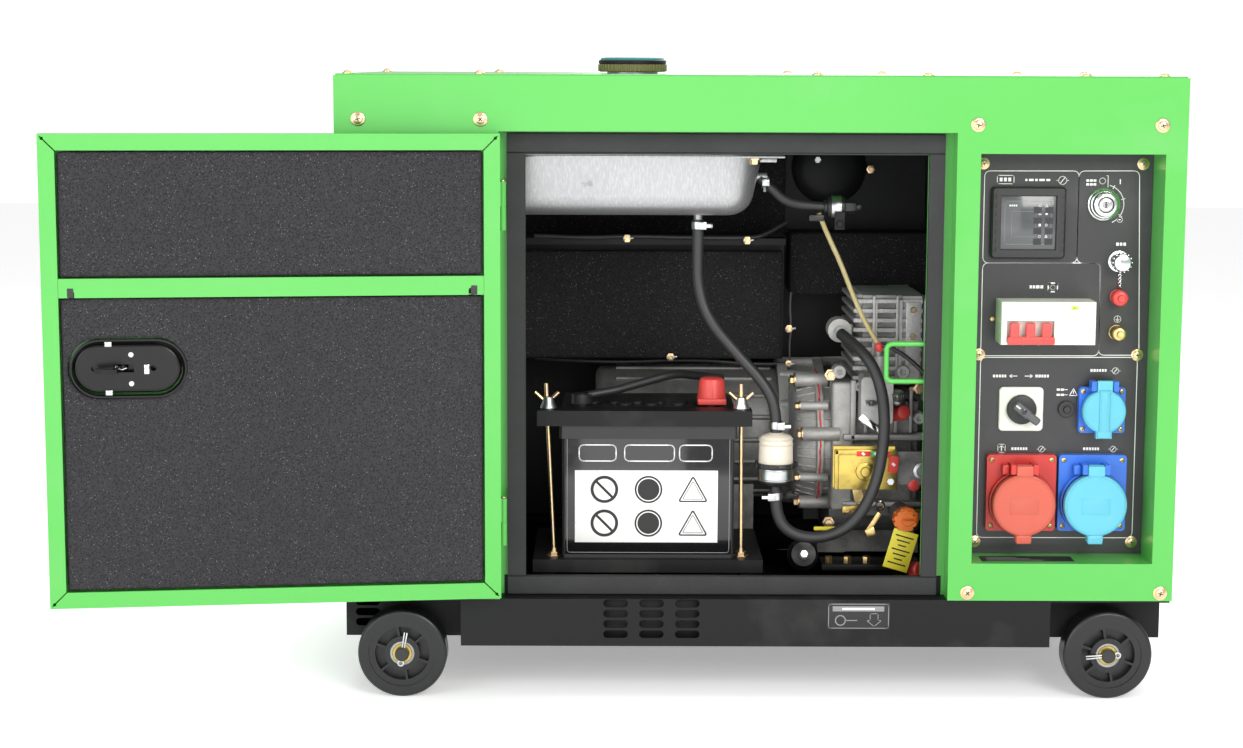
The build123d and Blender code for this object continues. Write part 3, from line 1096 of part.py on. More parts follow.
with BuildPart() as injection_pump:
    x, y, z = pump
    bar((x, y, z + 7), (x, y, z - 20), 10)
    block(x - 20, x + 18, y - 8, y + 31.5, z - 74, z - 18)
    fillet(injection_pump.edges().filter_by(Axis.Y), radius=5)
    block(x - 14, x + 12, y + 30, y + 37.6, z - 74, z - 68)
    bar((x, y, z + 6), (x, y, z + 15), 4)
with BuildPart() as lift_pump:
    x, y, z = lift
    bar((x, behind(y), z), (x, behind(y + 12), z), 6)
    bar((x, behind(y + 8), z), (x, behind(y + 40), z), 14)
    block(x, cyl_x0 - gap, behind(y + 14), behind(y + 36), z - 7, z + 7)
write(joined(injection_pump.part, lift_pump.part), "injection_pump")

with BuildPart() as dipstick:
    bar((neck_x, behind(104), neck_z), (neck_x, behind(122), neck_z), 13.5)
    with BuildSketch(facing(behind(104))):
        with Locations((neck_x, neck_z)):
            with PolarLocations(13.5, 10):
                Circle(1.8)
    extrude(amount=-15, mode=Mode.SUBTRACT)
    bar((neck_x, behind(120), neck_z), (neck_x, behind(170), neck_z), 6)
write(dipstick.part, "dipstick")
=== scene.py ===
import bpy
import bmesh
import random
from math import atan2, cos, hypot, pi, radians, sin
from mathutils import Matrix, Vector, noise


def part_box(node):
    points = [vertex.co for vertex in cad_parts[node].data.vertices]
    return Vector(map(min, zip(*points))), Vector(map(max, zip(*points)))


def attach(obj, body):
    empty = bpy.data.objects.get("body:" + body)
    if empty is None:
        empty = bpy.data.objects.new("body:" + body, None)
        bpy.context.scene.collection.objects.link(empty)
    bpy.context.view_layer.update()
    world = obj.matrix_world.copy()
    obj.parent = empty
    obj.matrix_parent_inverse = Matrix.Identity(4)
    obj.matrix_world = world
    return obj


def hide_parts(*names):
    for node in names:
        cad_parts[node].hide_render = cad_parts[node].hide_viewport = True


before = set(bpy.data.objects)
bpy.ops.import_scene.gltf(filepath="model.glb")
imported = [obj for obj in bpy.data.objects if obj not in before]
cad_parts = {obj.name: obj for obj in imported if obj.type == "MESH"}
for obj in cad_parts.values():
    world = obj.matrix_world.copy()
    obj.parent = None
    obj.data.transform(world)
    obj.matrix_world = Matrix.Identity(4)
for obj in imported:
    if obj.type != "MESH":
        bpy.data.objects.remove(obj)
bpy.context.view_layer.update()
random.seed(7)
mm = 0.001
frontPlane = -270.0  # y of the cabinet's front face, in millimetres
print("frame loaded")


# shader nodes as expressions
class Value:
    def __init__(self, tree, socket):
        self.tree = tree
        self.socket = socket

    def maths(self, operation, *others):
        return addNode(self.tree, "ShaderNodeMath", {"operation": operation}, self, *others)

    def __add__(self, other):
        return self.maths("ADD", other)

    __radd__ = __add__

    def __mul__(self, other):
        return self.maths("MULTIPLY", other)

    __rmul__ = __mul__

    def __sub__(self, other):
        return self.maths("SUBTRACT", other)

    def __rsub__(self, other):
        return addNode(self.tree, "ShaderNodeMath", {"operation": "SUBTRACT"}, other, self)

    def __truediv__(self, other):
        return self.maths("DIVIDE", other)

    def __pow__(self, other):
        return self.maths("POWER", other)


def addNode(tree, kind, settings=None, *inputs, out=0, **named):
    node = tree.nodes.new(kind)
    for key, value in (settings or {}).items():
        if key == "stops":
            ramp = node.color_ramp
            while len(ramp.elements) > 2:
                ramp.elements.remove(ramp.elements[-1])
            for index, (position, shade) in enumerate(value):
                element = ramp.elements[index] if index < 2 else ramp.elements.new(position)
                element.position = position
                element.color = shade if len(shade) == 4 else (*shade, 1)
        else:
            setattr(node, key, value)
    pairs = list(enumerate(inputs)) + [(key.replace("_", " "), value) for key, value in named.items()]
    for key, value in pairs:
        socket = node.inputs[key]
        if isinstance(value, Value):
            tree.links.new(value.socket, socket)
        elif value is not None:
            socket.default_value = (*value, 1) if socket.type == "RGBA" and len(value) == 3 else value
    return Value(tree, node.outputs[out])


# one material, and the nodes that most finishes share
class Finish:
    def __init__(self, name, **constants):
        self.material = bpy.data.materials.new(name)
        self.material.use_nodes = True
        self.tree = self.material.node_tree
        self.shader = self.tree.nodes["Principled BSDF"]
        for key, value in constants.items():
            self.shader.inputs[key.replace("_", " ")].default_value = value
        self.place = self.node("ShaderNodeTexCoord", {}, out=3)

    def node(self, kind, settings=None, *inputs, out=0, **named):
        return addNode(self.tree, kind, settings, *inputs, out=out, **named)

    def noise(self, scale, detail=3.0, rough=0.55, where=None, stretch=None):
        spot = where or self.place
        if stretch:
            spot = self.node("ShaderNodeMapping", {}, spot, Scale=stretch)
        return self.node("ShaderNodeTexNoise", {}, Vector=spot, Scale=scale, Detail=detail, Roughness=rough)

    def cells(self, scale, feature="F1", out=0, where=None):
        return self.node("ShaderNodeTexVoronoi", {"feature": feature}, Vector=where or self.place,
            Scale=scale, out=out)

    def step(self, value, low, high, bottom=0.0, top=1.0):
        return self.node("ShaderNodeMapRange", {}, value, low, high, bottom, top)

    def mix(self, factor, first, second):
        return self.node("ShaderNodeMix", {"data_type": "RGBA"}, factor, *[None] * 5, first, second, out=2)

    def set(self, **links):
        for key, value in links.items():
            self.tree.links.new(value.socket, self.shader.inputs[key.replace("_", " ")])
        return self

    def bump(self, height, distance, strength=1.0):
        normal = self.node("ShaderNodeBump", {}, Strength=strength, Distance=distance, Height=height)
        self.tree.links.new(normal.socket, self.shader.inputs["Normal"])
        return self


# finishes
def powderCoat(name, tone, deep, rough=0.3, peel=0.00006, coat=0.35, shine=0.5):
    f = Finish(name, Coat_Roughness=0.12)
    f.shader.inputs["Specular IOR Level"].default_value = shine
    f.shader.inputs["Coat Weight"].default_value = coat
    cloud = f.noise(2.2, 2.0)
    speck = f.step(f.noise(520, 1.0), 0.62, 0.72)
    dust = f.step(f.noise(9, 4.0), 0.55, 0.8)
    tint = f.mix(cloud, tone, deep)
    tint = f.mix(dust * 0.06, tint, (0.5, 0.5, 0.45))
    f.set(Base_Color=f.mix(speck * 0.12, tint, deep), Roughness=rough + dust * 0.12 + cloud * 0.06)
    return f.bump(f.noise(420, 2.0), peel, 0.5).material


def foamSkin(name, tone=(0.040, 0.0385, 0.042)):
    f = Finish(name)
    f.shader.inputs["Specular IOR Level"].default_value = 0.25
    pores = f.cells(420)
    fine = f.noise(900, 2.0)
    glints = f.step(f.cells(300), 0.0, 0.17, 1.0, 0.0) * f.step(f.noise(70, 2.0), 0.38, 0.52)
    broad = f.noise(5, 3.0)
    body = f.mix(broad, tone, tuple(c * 1.35 for c in tone))
    # the pore hollows are darker: painted shade inside the pores
    body = f.mix(f.step(pores, 0.1, 0.55) * 0.75, tuple(c * 0.3 for c in tone), body)
    f.set(Base_Color=f.mix(glints * 0.75, body, (0.46, 0.45, 0.46)), Roughness=0.97 - glints * 0.35)
    return f.bump(pores + fine * 0.6, 0.0009, 0.85).material


def rubber(name, tone=(0.022, 0.022, 0.023), rough=0.42, grain=260, bloom=0.25):
    f = Finish(name)
    haze = f.step(f.noise(14, 4.0), 0.42, 0.75)
    f.set(Base_Color=f.mix(haze * bloom, tone, tuple(c * 2.6 for c in tone)), Roughness=rough + haze * 0.2)
    return f.bump(f.noise(grain, 3.0), 0.00012, 0.6).material


def spongeSkin(name):
    f = Finish(name)
    pores = f.cells(900)
    patch = f.noise(30, 3.0)
    f.set(Base_Color=f.mix(patch, (0.020, 0.020, 0.021), (0.042, 0.042, 0.044)), Roughness=0.78 + patch * 0.15)
    return f.bump(pores, 0.0004, 0.7).material


def plastic(name, tone, rough=0.35, grain=700, depth=0.00005, shade=0.82, coat=0.0):
    f = Finish(name, Coat_Roughness=0.08)
    f.shader.inputs["Coat Weight"].default_value = coat
    f.shader.inputs["Subsurface Weight"].default_value = 0.04
    broad = f.noise(26, 3.0)
    smudge = f.step(f.noise(70, 5.0), 0.52, 0.8)
    f.set(Base_Color=f.mix(broad, tone, tuple(c * shade for c in tone)), Roughness=rough + smudge * 0.14)
    return f.bump(f.noise(grain, 2.0), depth, 0.5).material


# zinc, chrome or brass: a metal whose tone drifts in patches, with fine scratches
def plated(name, tone, other, rough=0.26, tarnish=0.4, scale=90):
    f = Finish(name, Metallic=1.0)
    drift = f.step(f.noise(scale, 3.0), 0.35, 0.7)
    stain = f.step(f.noise(scale * 4, 4.0), 0.58, 0.8)
    scratch = f.noise(300, 2.0, stretch=(1, 1, 14))
    base = f.mix(drift, tone, other)
    f.set(
        Base_Color=f.mix(stain * tarnish, base, tuple(c * 0.45 for c in tone)),
        Roughness=rough + stain * 0.25 + scratch * 0.1,
    )
    return f.bump(scratch, 0.00004, 0.5).material


def castMetal(name, tone=(0.50, 0.50, 0.49), rough=0.5, grime=0.5, metal=0.85):
    f = Finish(name, Metallic=metal)
    grain = f.noise(650, 3.0)
    lumps = f.cells(240)
    soot = f.step(f.noise(22, 5.0), 0.45, 0.78)
    base = f.mix(grain, tone, tuple(c * 0.72 for c in tone))
    f.set(Base_Color=f.mix(soot * grime, base, (0.06, 0.055, 0.05)),
        Roughness=rough + soot * 0.25 + grain * 0.1)
    return f.bump(grain + lumps * 0.6, 0.0004, 0.7).material


# silver paint over deep-drawn steel: faint vertical draw lines and scuffs
def drawnSteel(name):
    f = Finish(name, Metallic=0.75)
    lines = f.noise(90, 4.0, stretch=(6, 6, 0.35))
    cloud = f.noise(7, 4.0)
    scuff = f.step(f.noise(34, 6.0), 0.66, 0.74)
    base = f.mix(cloud, (0.47, 0.47, 0.48), (0.35, 0.35, 0.36))
    base = f.mix(f.step(lines, 0.45, 0.75) * 0.3, base, (0.80, 0.80, 0.82))
    f.set(Base_Color=f.mix(scuff * 0.5, base, (0.22, 0.22, 0.23)), Roughness=0.30 + cloud * 0.12 + scuff * 0.2)
    return f.bump(lines, 0.00025, 0.5).material


def clearTube(name):
    f = Finish(name, IOR=1.45)
    f.shader.inputs["Transmission Weight"].default_value = 0.45
    age = f.noise(40, 3.0)
    f.set(Base_Color=f.mix(age, (0.78, 0.70, 0.40), (0.62, 0.50, 0.20)), Roughness=0.16 + age * 0.12)
    return f.bump(f.noise(160, 2.0), 0.0001, 0.4).material


# screen-printed ink, with a soft edge of wear
def ink(name, tone, rough=0.5):
    f = Finish(name)
    wear = f.step(f.noise(500, 4.0), 0.60, 0.78)
    f.set(Base_Color=f.mix(wear * 0.35, tone, tuple(c * 0.6 for c in tone)), Roughness=rough + wear * 0.2)
    return f.bump(f.noise(900, 2.0), 0.00002, 0.4).material


green = powderCoat("powderGreen", (0.094, 0.475, 0.078), (0.078, 0.435, 0.064), shine=0.4)
satinBlack = powderCoat("powderBlack", (0.011, 0.011, 0.012), (0.007, 0.007, 0.008), 0.46, 0.00012, 0.0, 0.22)
pocketBlack = powderCoat("pocketBlack", (0.006, 0.006, 0.006), (0.004, 0.004, 0.004), 0.2, 0.00002, 0.0, 0.3)
panelBlack = powderCoat("panelBlack", (0.030, 0.030, 0.032), (0.020, 0.020, 0.022), 0.36, 0.00006, 0.15)
foam = foamSkin("charcoalFoam")
# the bay's boards use the charcoal foam in a darker tone: partly the foam's own colour, partly painted shade of
# the dim bay
shadedBayFoam = foamSkin("shadedBayFoam", (0.020, 0.0185, 0.020))
sponge = spongeSkin("spongeRubber")
hoseBlack = rubber("hoseRubber")
tyreBlack = rubber("tyreRubber", (0.007, 0.007, 0.007), 0.34, 500, 0.2)
rimBlack = plastic("rimPlastic", (0.007, 0.007, 0.008), 0.32)
zinc = plated("brightZinc", (0.62, 0.63, 0.64), (0.50, 0.51, 0.53))
yellowZinc = plated("yellowZinc", (0.80, 0.62, 0.30), (0.72, 0.50, 0.40), 0.24, 0.3, 140)
goldZinc = plated("goldZinc", (0.62, 0.45, 0.11), (0.46, 0.36, 0.10), 0.26, 0.4, 40)
chrome = plated("chromePlate", (0.82, 0.82, 0.83), (0.74, 0.75, 0.77), 0.08, 0.15)
brass = plated("brassPlain", (0.76, 0.58, 0.26), (0.66, 0.46, 0.18), 0.28, 0.35)
castAlloy = castMetal("castAlloy", (0.52, 0.515, 0.50), 0.45, 0.35, 0.45)
# the cast alloy in a darker tone, as painted shade of the castings deep in the bay; its heavier soot is dirt
shadedAlloy = castMetal("shadedAlloy", (0.30, 0.30, 0.29), 0.55, 0.75)
iron = castMetal("castIron", (0.24, 0.24, 0.23), 0.5, 0.5)
tankSteel = drawnSteel("tankSteel")
darkSteel = castMetal("heatPaint", (0.16, 0.15, 0.14), 0.6, 0.4)
glossBlack = plastic("glossBlack", (0.010, 0.010, 0.011), 0.10, 300, 0.00003, 0.8, 0.5)
mattBlack = plastic("mattBlack", (0.022, 0.022, 0.023), 0.45)
caseBlack = plastic("caseBlack", (0.016, 0.016, 0.017), 0.40, 420, 0.0001)
greyPlastic = plastic("greyPlastic", (0.10, 0.10, 0.105), 0.42)
screenGlass = plastic("screenGlass", (0.085, 0.090, 0.095), 0.14, 300, 0.00002, 0.8, 0.4)
whitePlastic = plastic("whitePlastic", (0.86, 0.84, 0.76), 0.34, 700, 0.00004, 0.93)
filterWhite = plastic("filterWhite", (0.80, 0.72, 0.60), 0.38, 500, 0.00006, 0.9)
redPlastic = plastic("redPlastic", (0.62, 0.035, 0.030), 0.32)
redLid = plastic("redLid", (0.60, 0.105, 0.065), 0.38)
bluePlastic = plastic("bluePlastic", (0.030, 0.17, 0.72), 0.30)
blueLid = plastic("blueLid", (0.12, 0.50, 0.64), 0.36)
leverRed = plastic("leverRed", (0.80, 0.08, 0.07), 0.34)
orangePlastic = plastic("orangePlastic", (0.90, 0.20, 0.02), 0.34)
tealPlastic = plastic("tealPlastic", (0.02, 0.20, 0.22), 0.42, 260, 0.0003)
olivePlastic = plastic("olivePlastic", (0.17, 0.15, 0.05), 0.5, 260, 0.0002)
clear = clearTube("returnTube")
whiteInk = ink("whiteInk", (0.86, 0.86, 0.84))
greyInk = ink("greyInk", (0.24, 0.24, 0.24))
blackInk = ink("blackInk", (0.012, 0.012, 0.012))
greenInk = ink("greenInk", (0.05, 0.45, 0.12))
redInk = ink("redInk", (0.70, 0.04, 0.03))
yellowInk = ink("yellowInk", (0.86, 0.74, 0.05))
print("finishes ready")

nodeFinish = {
    green: "front_frame latch_striker left_side_panel right_side_panel rear_panel rear_hatch top_cover door_shell",
    satinBlack: "base_pan inner_baffles battery_mount",
    sponge: "door_seal",
    zinc: "axles",
    yellowZinc: "cabinet_fixings battery_rods",
    pocketBlack: "latch_pocket latch_handle",
    panelBlack: "control_panel",
    mattBlack: "controller reset_guard reset_button air_cleaner",
    greyPlastic: "selector_knob",
    chrome: "key_switch key_barrel panel_terminals",
    whitePlastic: "breaker selector_plate",
    leverRed: "breaker_toggle terminal_cover",
    redPlastic: "three_phase_socket",
    redLid: "three_phase_lid",
    bluePlastic: "one_phase_socket household_socket",
    blueLid: "one_phase_lid household_lid",
    tankSteel: "fuel_tank",
    olivePlastic: "fuel_cap",
    hoseBlack: "fuel_hoses battery_cable",
    clear: "return_hose",
    filterWhite: "fuel_filter",
    caseBlack: "battery",
    castAlloy: "bell_housing cylinder injection_pump",
    shadedAlloy: "crankcase alternator_housing",
    iron: "crankshaft",
    darkSteel: "silencer",
    goldZinc: "speed_plate",
    brass: "throttle_lever",
    orangePlastic: "dipstick",
    foam: "door_foam_upper door_foam_lower bay_foam",
    rimBlack: "wheel_front_left wheel_front_right wheel_rear_left wheel_rear_right",
}
for finish, names in nodeFinish.items():
    for name in names.split():
        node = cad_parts[name]
        node.data.materials.clear()
        node.data.materials.append(finish)


# shapes in millimetres; y is counted from the front plane, and every shape ends up in metres
def spot(x, behind, z):
    return Vector((x, frontPlane + behind, z))


frontwards = Vector((0, -1, 0))
doorHinge = spot(-287.5, 0, 0)
openDoor = Matrix.Translation(doorHinge) @ Matrix.Rotation(radians(-173), 4,
    "Z") @ Matrix.Translation(-doorHinge)


def put(name, work, finish, body="cabinet", hides=(), place=None, smooth=38):
    if place is not None:
        bmesh.ops.transform(work, matrix=place, verts=work.verts)
    bmesh.ops.scale(work, vec=(mm, mm, mm), verts=work.verts)
    bmesh.ops.recalc_face_normals(work, faces=work.faces)
    mesh = bpy.data.meshes.new(name)
    work.to_mesh(mesh)
    work.free()
    for one in finish if isinstance(finish, list) else [finish]:
        mesh.materials.append(one)
    mesh.shade_smooth()
    mesh.set_sharp_from_angle(angle=radians(smooth))
    piece = bpy.data.objects.new(name, mesh)
    bpy.context.scene.collection.objects.link(piece)
    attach(piece, body)
    if hides:
        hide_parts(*hides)
    return piece


def fresh(work, before):
    return [vert for vert in work.verts if vert not in before]


def tint(work, before, index):
    for vert in fresh(work, before):
        for face in vert.link_faces:
            face.material_index = index


def bevelled(work, verts, size, steps, rimsOnly=False):
    edges = {edge for vert in verts for edge in vert.link_edges}
    if rimsOnly:
        edges = {edge for edge in edges if any(len(face.verts) > 4 for face in edge.link_faces)}
    bmesh.ops.bevel(work, geom=list(edges), offset=size, affect="EDGES", segments=steps, profile=0.5,
        material=-1, clamp_overlap=True)


def block(work, x, y, z, bevel=0.0, steps=2, index=0, turn=None):
    before = set(work.verts)
    verts = bmesh.ops.create_cube(work, size=1)["verts"]
    bmesh.ops.scale(work, vec=(x[1] - x[0], y[1] - y[0], z[1] - z[0]), verts=verts)
    if turn is not None:
        bmesh.ops.transform(work, matrix=turn, verts=verts)
    bmesh.ops.translate(work, vec=spot((x[0] + x[1]) / 2, (y[0] + y[1]) / 2, (z[0] + z[1]) / 2), verts=verts)
    if bevel:
        bevelled(work, verts, bevel, steps)
    tint(work, before, index)


def rod(work, start, end, radius, tip=None, bevel=0.0, sides=24, index=0, steps=2):
    before = set(work.verts)
    run = spot(*end) - spot(*start)
    place = Matrix.Translation((spot(*start) + spot(*end)) / 2) @ run.to_track_quat("Z",
        "Y").to_matrix().to_4x4()
    verts = bmesh.ops.create_cone(
        work, cap_ends=True, cap_tris=False, segments=sides, radius1=radius,
        radius2=radius if tip is None else tip, depth=run.length, matrix=place)["verts"]
    if bevel:
        bevelled(work, verts, bevel, steps, True)
    tint(work, before, index)


def turned(work, profile, base, towards=frontwards, sides=36, index=0):
    before = set(work.verts)
    verts = [work.verts.new((radius, 0, height)) for radius, height in profile]
    edges = [work.edges.new(pair) for pair in zip(verts, verts[1:])]
    bmesh.ops.spin(work, geom=verts + edges, cent=(0, 0, 0), axis=(0, 0, 1), angle=2 * pi, steps=sides,
        use_merge=True)
    bmesh.ops.remove_doubles(work, verts=fresh(work, before), dist=0.0005)
    place = Matrix.Translation(spot(*base)) @ Vector(towards).to_track_quat("Z", "Y").to_matrix().to_4x4()
    bmesh.ops.transform(work, matrix=place, verts=fresh(work, before))
    tint(work, before, index)


def stroke(work, points, width, behind, closed=False, thick=0.3, index=0):
    pairs = list(zip(points, points[1:])) + ([(points[-1], points[0])] if closed else [])
    for (x0, z0), (x1, z1) in pairs:
        run = hypot(x1 - x0, z1 - z0) + width * 0.6
        cx, cz = (x0 + x1) / 2, (z0 + z1) / 2
        turn = Matrix.Rotation(-atan2(z1 - z0, x1 - x0), 4, "Y")
        block(work, (cx - run / 2, cx + run / 2), (behind - thick, behind + thick),
            (cz - width / 2, cz + width / 2), index=index, turn=turn)


def arc(x, z, radius, start=0, sweep=360, steps=20):
    return [(x + radius * cos(radians(start + sweep * i / steps)),
        z + radius * sin(radians(start + sweep * i / steps))) for i in range(steps + 1)]


def softPath(corners, radius):
    path = []
    for index, corner in enumerate(corners):
        before, after = Vector(corners[index - 1]), Vector(corners[(index + 1) % len(corners)])
        here = Vector(corner)
        first = here + (before - here).normalized() * radius
        last = here + (after - here).normalized() * radius
        for step in range(6):
            t = step / 5
            point = first * (1 - t) ** 2 + here * 2 * t * (1 - t) + last * t ** 2
            path.append((point.x, point.y))
    return path


def wire(name, points, radius, finish, body="cabinet", hides=(), place=None):
    line = bpy.data.curves.new(name, "CURVE")
    line.dimensions = "3D"
    line.bevel_depth = radius * mm
    line.bevel_resolution = 5
    line.resolution_u = 10
    line.use_fill_caps = True
    spline = line.splines.new("NURBS")
    spline.points.add(len(points) - 1)
    for knot, point in zip(spline.points, points):
        where = spot(*point)
        if place is not None:
            where = place @ where
        knot.co = (*(where * mm), 1)
    spline.order_u = 3
    spline.use_endpoint_u = True
    line.materials.append(finish)
    piece = bpy.data.objects.new(name, line)
    bpy.context.scene.collection.objects.link(piece)
    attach(piece, body)
    if hides:
        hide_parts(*hides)
    return piece


# foam boards: the CAD solids remeshed, softened and made uneven
foamDial = {"voxel": 3.2, "soften": 3, "lumps": 0.5, "grain": 0.16}


def foamBoards(node, body, imprint=None, skin=foam):
    work = bmesh.new()
    work.from_mesh(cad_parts[node].data)
    bmesh.ops.remove_doubles(work, verts=work.verts, dist=1e-6)
    mesh = bpy.data.meshes.new(node + "Soft")
    work.to_mesh(mesh)
    work.free()
    piece = bpy.data.objects.new(node + "Soft", mesh)
    bpy.context.scene.collection.objects.link(piece)
    remesh = piece.modifiers.new("remesh", "REMESH")
    remesh.mode = "VOXEL"
    remesh.voxel_size = foamDial["voxel"] * mm
    soft = bpy.data.meshes.new_from_object(piece.evaluated_get(bpy.context.evaluated_depsgraph_get()))
    piece.modifiers.clear()
    piece.data = soft
    work = bmesh.new()
    work.from_mesh(soft)
    low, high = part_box(node)
    for repeat in range(foamDial["soften"]):
        bmesh.ops.smooth_vert(work, verts=work.verts, factor=0.5, use_axis_x=True, use_axis_y=True,
            use_axis_z=True)
    work.normal_update()
    for vert in work.verts:
        lump = noise.noise(vert.co * 14) * foamDial["lumps"] + noise.noise(vert.co * 160) * foamDial["grain"]
        if imprint:
            lump -= imprint(vert.co)
        vert.co += vert.normal * (lump - 0.35) * mm
        vert.co = [min(max(value, a), b) for value, a, b in zip(vert.co, low, high)]
    work.to_mesh(soft)
    work.free()
    soft.materials.clear()
    soft.materials.append(skin)
    soft.shade_smooth()
    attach(piece, body)
    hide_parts(node)


# the shallow mark that a strip has pressed into the lower board near its bottom edge
def stripMark(place):
    along, height = place.x * 1000, place.z * 1000
    low = 137 + (-319 - along) * 0.083
    return 0.9 if -590 < along < -330 and low + 3 < height < low + 11 else 0.0


foamBoards("door_foam_upper", "door")
foamBoards("door_foam_lower", "door", stripMark)
foamBoards("bay_foam", "cabinet", skin=shadedBayFoam)
print("foam boards ready")

# screws: a flanged pan head on every fixing of the cabinet, its cross recess drawn as two dark bars of painted
# shade
screwPlan = {
    "front": [(-448, 0, 659), (-312, 0, 659), (241, 0, 655), (446, 0, 655), (241, 0, 124), (461, 0, 124)],
    "panel": [(348 + side * 91, 58, z) for z in (610, 391, 172) for side in (-1, 1)],
    "rear": [(x, 540, z) for x, z in ((-448, 674), (0, 674), (446, 674), (-448, 124), (241, 124), (461, 124))],
    "hatch": [(x, 541.8, z) for x in (-306, -25, 256) for z in (163, 647)],
    "top": [(x, y, 709) for y in (40, 500) for x in (-463, -315, 65, 190, 368, 456)],
}
headSizes = {"front": 8.0, "panel": 7.0, "rear": 8.0, "hatch": 8.0, "top": 6.5}
heads = bmesh.new()
for group, places in screwPlan.items():
    radius = headSizes[group]
    out = (0, 0, 1) if group == "top" else (0, 1, 0) if group in ("rear", "hatch") else (0, -1, 0)
    for index, place in enumerate(places):
        turned(heads, [(0, -1.2), (radius, -1.2), (radius, 0.9), (radius - 0.5, 1.3), (radius * 0.72, 1.5),
            (radius * 0.66, 2.6), (radius * 0.45, 3.4), (radius * 0.2, 3.7), (0, 3.75)], place, out, 24)
        # two dark bars stand on the head where the cross recess is: painted shade, not a cut
        for turn in (0.35 + index * 0.5, 0.35 + index * 0.5 + pi / 2):
            aim = Vector(out).to_track_quat("Z", "Y").to_matrix().to_4x4() @ Matrix.Rotation(turn, 4, "Z")
            before = set(heads.verts)
            recessShadeVerts = bmesh.ops.create_cube(heads, size=1)["verts"]
            bmesh.ops.scale(heads, vec=(radius * 0.72, radius * 0.14, 1.2), verts=recessShadeVerts)
            bmesh.ops.transform(heads, matrix=Matrix.Translation(spot(*place) + Vector(out) * 3.3) @ aim,
                verts=recessShadeVerts)
            tint(heads, before, 1)
for z in (563, 205):
    rod(heads, (-287.5, 0, z - 27), (-287.5, 0, z + 27.4), 1.95, index=0)
    rod(heads, (-287.5, 0, z + 27.4), (-287.5, 0, z + 29), 3.1, bevel=0.5)
put("screwHeads", heads, [yellowZinc, mattBlack], hides=("cabinet_fixings",))
print("screws ready")

# the control panel's printed lines and signs
panelArt = {"face": 57.9, "line": 0.85}
face = panelArt["face"]
panelInk = bmesh.new()
boxes = [
    [(258.5, 601.5), (366.1, 601.8), (366.3, 496.8), (258.6, 496.6)],
    [(366.1, 601.8), (434.8, 602.2), (441.0, 390.7), (394.5, 390.5), (393.6, 496.8), (366.3, 496.8)],
    [(258.6, 496.4), (393.4, 496.8), (394.6, 389.8), (258.9, 389.5)],
    [(259.0, 387.6), (439.5, 388.2), (440.0, 176.8), (259.2, 176.6)],
]
for corners in boxes:
    stroke(panelInk, softPath(corners, 7), panelArt["line"], face, True)


def pills(work, x, z, widths, height=3.4, gap=1.5, index=0, behind=face):
    for width in widths:
        block(work, (x, x + width), (behind - 0.25, behind + 0.2), (z - height / 2, z + height / 2),
            bevel=0.7, steps=2, index=index)
        x += width + gap


def struckRing(work, x, z, radius):
    stroke(work, arc(x, z, radius), 0.7, face, True)
    stroke(work, [(x - radius * 0.6, z - radius * 0.75), (x + radius * 0.6, z + radius * 0.75)], 0.8, face)
    stroke(work, [(x - radius * 1.5, z), (x - radius, z)], 0.6, face)
    stroke(work, [(x + radius, z), (x + radius * 1.5, z)], 0.6, face)


stroke(panelInk, softPath([(273, 596.5), (292, 596.5), (292, 587), (273, 587)], 1.2), 0.8, face, True)
pills(panelInk, 275.6, 591.8, (3.4, 3.4, 3.4), 4.4)
pills(panelInk, 304.8, 591.4, (2.6, 5.4, 3.2, 6.4, 4.6), 2.6, 1.6)
struckRing(panelInk, 347.5, 591.0, 4.6)
pills(panelInk, 374.5, 591.0, (3.2, 3.2, 3.2), 2.6, 0.9)
pills(panelInk, 374.5, 586.6, (3.2, 3.2, 3.2), 2.6, 0.9)
stroke(panelInk, arc(393.0, 590.6, 3.4), 0.8, face, True)
stroke(panelInk, [(397.5, 596.5), (399.3, 596.5), (399.3, 583.5)], 0.6, face)
stroke(panelInk, arc(395.6, 563.8, 22.5, 74, -138, 22), 0.8, face)
for angle in (62, 16, -34):
    stroke(panelInk, [(395.6 + r * cos(radians(angle)), 563.8 + r * sin(radians(angle))) for r in (20.5,
        24.5)], 0.8, face)
stroke(panelInk, [(413.2, 592.4), (413.2, 587.2)], 1.2, face)
stroke(panelInk, arc(414.0, 546.5, 3.0), 0.8, face, True)
pills(panelInk, 412.6, 546.5, (2.6,), 1.0)
pills(panelInk, 410.8, 518.5, (3.0, 3.0, 3.0), 3.6, 1.1)
stroke(panelInk, arc(415.0, 432.3, 3.9), 0.6, face, True)
for width, drop in ((4.4, 0.0), (2.8, -1.3), (1.2, -2.5)):
    stroke(panelInk, [(415 - width / 2, 432.1 + drop), (415 + width / 2, 432.1 + drop)], 0.6, face)
stroke(panelInk, [(415, 435.2), (415, 432.1)], 0.6, face)
pills(panelInk, 313.1, 469.1, (2.6, 2.6, 4.4, 3.4), 3.6, 0.9)
stroke(panelInk, softPath([(334.4, 473.6), (345.0, 473.6), (345.0, 463.6), (334.4, 463.6)], 2.4), 1.4, face,
    True)
stroke(panelInk, arc(339.7, 468.6, 2.6), 0.9, face, True)
pills(panelInk, 273.6, 366.0, (2.6, 2.6, 2.2, 2.2, 2.2), 3.2, 0.9)
stroke(panelInk, [(292.5, 366), (301.5, 366)], 0.8, face)
stroke(panelInk, [(295.4, 367.7), (292.5, 366), (295.4, 364.3)], 0.7, face)
stroke(panelInk, [(310.5, 366), (319.5, 366)], 0.8, face)
stroke(panelInk, [(316.6, 367.7), (319.5, 366), (316.6, 364.3)], 0.7, face)
pills(panelInk, 322.6, 366.1, (2.6, 2.6, 2.2, 2.2, 2.2), 3.2, 0.9)
